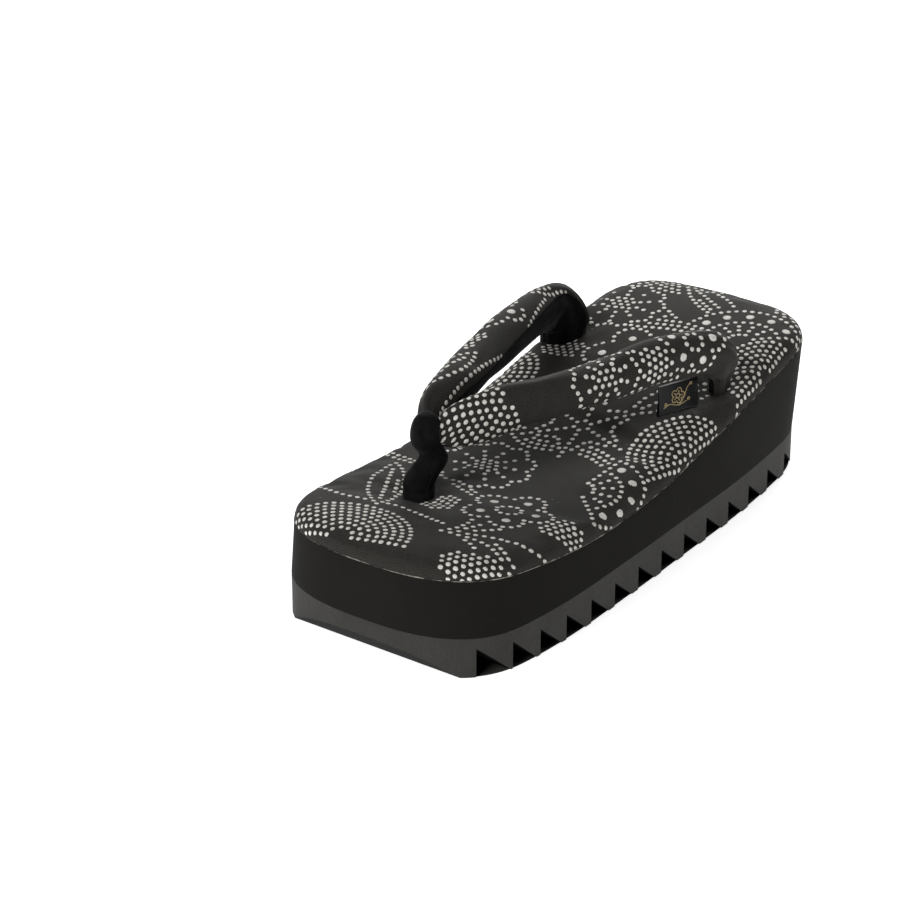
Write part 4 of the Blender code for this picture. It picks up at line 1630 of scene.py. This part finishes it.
def make_gilt():
    """Gilt embroidery thread: warm metal leaf wound on a core, so it glints in spots."""
    material, tree, shader = new_material("gilt thread", {"Roughness": 0.45, "Metallic": 0.45})
    place = add_node(tree, "ShaderNodeTexCoord").outputs["Object"]
    wound = add_node(tree, "ShaderNodeTexNoise", {"Vector": place, "Scale": 1 / GILT_WINDING})
    gold = add_node(tree, "ShaderNodeMix", {0: wound.outputs["Fac"], 6: linear("#8E7748"),
                                            7: linear("#F2DEAC")}, data_type="RGBA")
    return finished(material, shader, gold)


gilt = make_gilt()

# %% Tag
# front and rear corner of the seam, then of the fold; millimetres
TAG_SEAM = ((29.4, 23.4, 60.6), (34.8, 42.0, 59.8))
TAG_FOLD = ((29.4, 23.0, 48.4), (38.6, 36.5, 50.0))
RIBBON_THICKNESS = 0.28
FOLD_RADIUS = 0.85
SEAM_GAP = 0.25              # from the middle to each layer of the ribbon, at the seam
TAG_COLUMNS = 44
FRONT_POINTS = 14            # down each side of the loop


def tag_path(length):
    """Side view of the folded ribbon: (down, out, travelled) from seam to seam."""
    down = np.linspace(0, length - FOLD_RADIUS, FRONT_POINTS)
    share = down / down[-1]
    out = SEAM_GAP + (FOLD_RADIUS - SEAM_GAP) * share ** 2
    turn = np.radians(np.linspace(90, -90, 13))[1:-1]
    down = np.concatenate([down, length - FOLD_RADIUS + FOLD_RADIUS * np.cos(turn), down[::-1]])
    out = np.concatenate([out, FOLD_RADIUS * np.sin(turn), -out[::-1]])
    steps = np.hypot(np.diff(down), np.diff(out))
    return down, out, np.concatenate([[0], np.cumsum(steps)])


def make_tag():
    seam, fold = np.array(TAG_SEAM), np.array(TAG_FOLD)
    share = np.linspace(0, 1, TAG_COLUMNS)[:, None]
    top = seam[0] + (seam[1] - seam[0]) * share
    foot = fold[0] + (fold[1] - fold[0]) * share
    along = np.gradient(top + foot, axis=0)
    fall = foot - top
    length = np.linalg.norm(fall, axis=1)
    fall /= length[:, None]
    out_way = np.cross(along, fall)
    out_way /= np.linalg.norm(out_way, axis=1)[:, None]
    out_way *= np.sign(out_way[:, :1])
    down, out, travelled_down = tag_path(length.mean())
    stretch = (length / length.mean())[:, None]
    ripple = 0.45 * np.sin(5.2 * share + 0.4) + 0.9 * (share - 0.5) ** 2
    grids = []
    for side in (0.5, -0.5):
        way_down, way_out = np.gradient(down), np.gradient(out)
        size = np.hypot(way_down, way_out)
        a = down - side * RIBBON_THICKNESS * way_out / size
        b = out + side * RIBBON_THICKNESS * way_down / size
        sag = ripple * (down / down.max()) ** 1.5 + 0.5 * np.sin(math.pi * down / down.max())
        place = (top[:, None, :] + fall[:, None, :] * (a * stretch)[..., None]
                 + out_way[:, None, :] * (b + sag)[..., None])
        grids.append(place * MM)
    outer, inner = grids
    rings = np.concatenate([outer, inner[:, ::-1]], axis=1)
    points, faces = tube_mesh(rings)
    piece = new_piece("tag_ribbon", points, faces, ribbon, crisp_degrees=50)
    width = np.linalg.norm(seam[1] - seam[0] + fold[1] - fold[0]) / 2
    flat = np.stack(np.broadcast_arrays(share * width, -travelled_down[None, :]), axis=-1) * MM
    lay_flat(piece, np.concatenate([flat, flat[:, ::-1]], axis=1).reshape(-1, 2))
    return piece, outer, flat


tag, tag_worn, tag_flat = make_tag()
print("tag:", len(tag.data.polygons), "faces")

# %% Gilt blossom
KNOT = 0.25                  # radius of a knot of thread, millimetres
KNOT_PITCH = 0.46
KNOT_HEIGHT = 0.2 * MM
BLOSSOM_PLACE = (8.4, -5.2)
BLOSSOM_SIZE = 1.12


def gilt_dots():
    """A plum blossom of two rings on a bent twig with three buds, as rows of knots."""
    degrees = np.linspace(0, 360, 200, endpoint=False) + 18
    petals = 0.62 + 0.38 * np.abs(np.cos(np.radians(2.5 * degrees))) ** 0.75
    rows = [closed(polar(2.7 * petals, degrees), KNOT_PITCH),
            closed(arc(0.75, 0, 354), KNOT_PITCH)]
    for turn in np.arange(5) * 72:
        rows.append(walked(polar(np.array([0.9, 1.7]), turn), KNOT_PITCH))
    rows.append(walked(bent([(-5.6, -2.9), (-3.6, -2.2), (-1.9, -2.6), (0.6, -3.3), (3.4, -2.6)]),
                       KNOT_PITCH))
    rows.append(walked(bent([(0.6, -3.3), (2.6, -1.0), (3.6, 1.6), (4.9, 2.9)]), KNOT_PITCH))
    for x, y in ((-5.0, -1.9), (4.4, -2.0), (5.4, 3.1)):
        rows.append(closed(arc(0.42, 0, 330), KNOT_PITCH) + (x, y))
    points = np.vstack(rows) * BLOSSOM_SIZE + BLOSSOM_PLACE
    return np.column_stack([points, np.full(len(points), KNOT)])


def embroider_tag():
    front = FRONT_POINTS + 1
    worn, flat = tag_worn[:, :front], tag_flat[:, :front]
    normal = np.cross(np.gradient(worn, axis=1), np.gradient(worn, axis=0))
    normal /= np.linalg.norm(normal, axis=-1)[..., None]
    normal *= np.sign(normal[..., :1])
    return printed_on("tag_blossom", gilt_dots(), flat.reshape(-1, 2), worn.reshape(-1, 3),
                      normal.reshape(-1, 3), grid_faces(*worn.shape[:2]), height=KNOT_HEIGHT,
                      pigment=gilt)


tag_blossom = embroider_tag()
print("tag blossom:", len(tag_blossom.data.polygons), "faces")

# %% [markdown]
# ## The edge thread, with a painted highlight
# Where the footbed's cloth is tucked in against the foam, a thin pale line runs round the
# edge, here more and there less. It is partly the thread that holds the cloth, peeping out,
# and partly a painted highlight on the rolled edge. A tree lays a fine pale cord along the
# edge, and a noise makes it thick and thin.

# %% Laying a cord along an edge
def thread_tree():
    tree, given = new_tree("edge thread", {"Edge": "Geometry", "Radius": "Float",
                                           "Patch": "Float", "Thread": "Material"})
    line = add_node(tree, "GeometryNodeMeshToCurve", {"Mesh": given.outputs["Edge"]})
    here = add_node(tree, "GeometryNodeInputPosition")
    scale = add_node(tree, "ShaderNodeMath", {0: 1.0, 1: given.outputs["Patch"]},
                     operation="DIVIDE")
    patchy = add_node(tree, "ShaderNodeTexNoise",
                      {"Vector": here.outputs[0], "Scale": scale.outputs[0], "Detail": 3.0})
    swell = add_node(tree, "ShaderNodeMapRange", {0: patchy.outputs["Fac"], 1: 0.42, 2: 0.66,
                                                  3: 0.25, 4: 1.0})
    radius = add_node(tree, "ShaderNodeMath",
                      {0: swell.outputs[0], 1: given.outputs["Radius"]}, operation="MULTIPLY")
    ring = add_node(tree, "GeometryNodeCurvePrimitiveCircle", {"Resolution": 6, "Radius": 1.0})
    cord = add_node(tree, "GeometryNodeCurveToMesh",
                    {"Curve": line.outputs[0], "Profile Curve": ring.outputs[0],
                     "Scale": radius.outputs[0]})
    plain = add_node(tree, "GeometryNodeRealizeInstances", {0: cord.outputs[0]})
    smooth = add_node(tree, "GeometryNodeSetShadeSmooth", {0: plain.outputs[0]})
    finish = add_node(tree, "GeometryNodeSetMaterial",
                      {"Geometry": smooth.outputs[0], "Material": given.outputs["Thread"]})
    add_node(tree, "NodeGroupOutput", {0: finish.outputs[0]})
    return tree


# %% Edge thread
THREAD_RADIUS = 0.25 * MM
THREAD_PATCH = 16 * MM       # from one thick stretch to the next
THREAD_PALE_STRETCH = 4 * MM


def make_thread_with_highlight():
    """Undyed cotton thread, paler in stretches; its pale tone is partly a painted highlight along
    the edge.
    """
    material, tree, shader = new_material("pale thread and painted edge highlight", {"Roughness": 0.9})
    place = add_node(tree, "ShaderNodeTexCoord").outputs["Object"]
    dusty = add_node(tree, "ShaderNodeTexNoise", {"Vector": place, "Scale": 1 / THREAD_PALE_STRETCH,
                                                  "Detail": 3.0})
    amount = add_node(tree, "ShaderNodeMapRange", {0: dusty.outputs["Fac"], 1: 0.4, 2: 0.62})
    # the pale stretches are partly thread and partly a painted highlight on the tucked edge
    tone = add_node(tree, "ShaderNodeMix", {0: amount.outputs[0], 6: linear("#34332F"),
                                            7: linear("#A9A69B")}, data_type="RGBA")
    return finished(material, shader, tone)


def make_edge_thread():
    line = outline_at(even_angles(4 * OUTLINE_STEPS), CLOTH, overhang=HEEL_OVERHANG)
    drawn = drawn_line("cloth_edge",
                       [(x, y, z) for (x, y), z in zip(line, edge_height(line[:, 1]))])
    piece = grown("edge_thread", drawn, thread_tree(), Radius=THREAD_RADIUS,
                  Patch=THREAD_PATCH, Thread=make_thread_with_highlight())
    discard(drawn)
    return piece


edge_thread = make_edge_thread()
print("edge thread:", len(edge_thread.data.polygons), "faces")

# %% [markdown]
# ## Light, floor and camera
# The shoe stands on a white table that is lit from below, so that it throws hardly any
# shadow. Under the shoe the table is dark grey: painted shadow for the shade inside the
# notches between the teeth, where the table's glow would otherwise show. A low lamp in front
# lights the walls, and lamps behind, to the left and above catch the tops of the cloth.

# %% Studio
TABLE_GLOW = 0.7
TABLE_REACH = 6.0            # metres from the middle to the table's edge
SHADOW_PATCH_INSET = 0.5 * MM        # the painted shadow ends just inside the sole
ROOM_GLOW = 0.01
# name, place and aim in metres, width in metres, power in watts
LAMPS = (
    ("front soft box", (-0.10, -1.20, 0.75), (0.0, 0.0, 0.05), 0.8, 11.0),
    ("rear soft box", (-0.30, 0.64, 0.32), (0.0, 0.06, 0.05), 0.6, 4.7),
    ("left soft box", (-0.85, 0.05, 0.60), (0.0, 0.03, 0.05), 0.5, 1.3),
    ("top soft box", (0.34, 0.30, 0.62), (0.0, 0.0, 0.05), 0.4, 1.1),
)


def make_table(name, colour, glow):
    """Matt paper, or a dark patch of painted shadow, with the glow of a light below it."""
    return new_material(name, {
        "Base Color": linear(colour), "Roughness": 0.95, "Specular IOR Level": 0.0,
        "Emission Color": linear("#FFFFFF"), "Emission Strength": glow})[0]


def make_floor():
    angles = even_angles(OUTLINE_STEPS)
    shadow_patch_edge = outline_at(angles, JOINT, inset=SHADOW_PATCH_INSET)
    # the toe is bevelled, so the lit table goes on under it
    shadow_patch_edge[:, 1] = np.maximum(shadow_patch_edge[:, 1], -LENGTH / 2 + TOE_BEVEL_RUN)
    far = TABLE_REACH * shadow_patch_edge / np.linalg.norm(shadow_patch_edge, axis=1)[:, None]
    count = len(shadow_patch_edge)
    points = [(x, y, 0.0) for x, y in np.vstack([shadow_patch_edge, far])]
    faces = [[k, (k + 1) % count, count + (k + 1) % count, count + k] for k in range(count)]
    mesh = bpy.data.meshes.new("floor")
    mesh.from_pydata(points, [], faces + [list(range(count))])
    mesh.materials.append(make_table("white table, lit from below", "#F6F6F6", TABLE_GLOW))
    # the patch under the shoe is dark grey painted shadow, for the shade seen between the teeth
    mesh.materials.append(make_table("painted shadow under the shoe", "#4A4A48", 0.0))
    mesh.polygons[-1].material_index = 1
    return placed("floor", mesh)


def make_lamp(name, place, aim, size, watts):
    """A round soft box at a place, turned to the spot that it aims at."""
    data = bpy.data.lights.new(name, "AREA")
    data.shape = "DISK"
    data.size = size
    data.energy = watts
    lamp = placed(name, data)
    lamp.location = place
    turned = (Vector(aim) - Vector(place)).to_track_quat("-Z", "Y")
    lamp.rotation_euler = turned.to_euler()


def make_room(brightness):
    """Dim walls; where the view meets them they look like the far end of the table."""
    world = bpy.data.worlds.new("white room")
    world.use_nodes = True
    tree = world.node_tree
    sky = tree.nodes["Background"]
    sky.inputs["Color"].default_value = linear("#FFFFFF")
    rays = add_node(tree, "ShaderNodeLightPath")
    seen = add_node(tree, "ShaderNodeMapRange", {0: rays.outputs["Is Camera Ray"],
                                                 3: brightness, 4: TABLE_GLOW})
    tree.links.new(seen.outputs[0], sky.inputs["Strength"])
    bpy.context.scene.world = world


def make_camera():
    data = bpy.data.cameras.new("camera")
    data.lens = 124.3
    data.sensor_width = 36.0
    camera = placed("camera", data)
    camera.location = (0.60215, -0.88430, 0.54366)
    camera.rotation_euler = (math.radians(64.55), 0.0, math.radians(36.46))
    bpy.context.scene.camera = camera


floor = make_floor()
make_room(ROOM_GLOW)
for lamp in LAMPS:
    make_lamp(*lamp)
make_camera()
bpy.context.scene.view_settings.view_transform = "Standard"
print("studio:", len(LAMPS), "lamps,", round(sum(lamp[-1] for lamp in LAMPS), 1), "W")

# %% [markdown]
# ## The pieces on the body
# Each piece rides on the shoe's one body, and the CAD node that it stands for is hidden.

# %% Attaching the pieces
PIECES = (
    (outsole, "outsole", "tread_rubber"),
    (midsole, "midsole", "wedge_foam"),
    (footbed, "footbed", "printed_cloth"),
    (strap_cloth, "strap", "strap_cloth"),
    (post, "toe_post", "velvet"),
    (tag, "tag", "ribbon"),
)
for piece, node, slot in PIECES:
    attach(piece, "root")
    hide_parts(node)
for piece, slot in ((lining, "velvet"), (footbed_print, "printed_cloth"),
                    (strap_print, "strap_cloth"), (tag_blossom, "ribbon"),
                    (edge_thread, "printed_cloth")):
    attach(piece, "root")
floor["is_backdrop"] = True

# %% Size and finish
visual_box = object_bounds()
sizes = {name: [list(corner) for corner in box]
         for name, box in (("cad_box", cad_box), ("visual_box", visual_box))}
for low, high in zip(*sizes["visual_box"]):
    print("visual box:", round(low / MM, 1), "to", round(high / MM, 1), "mm")
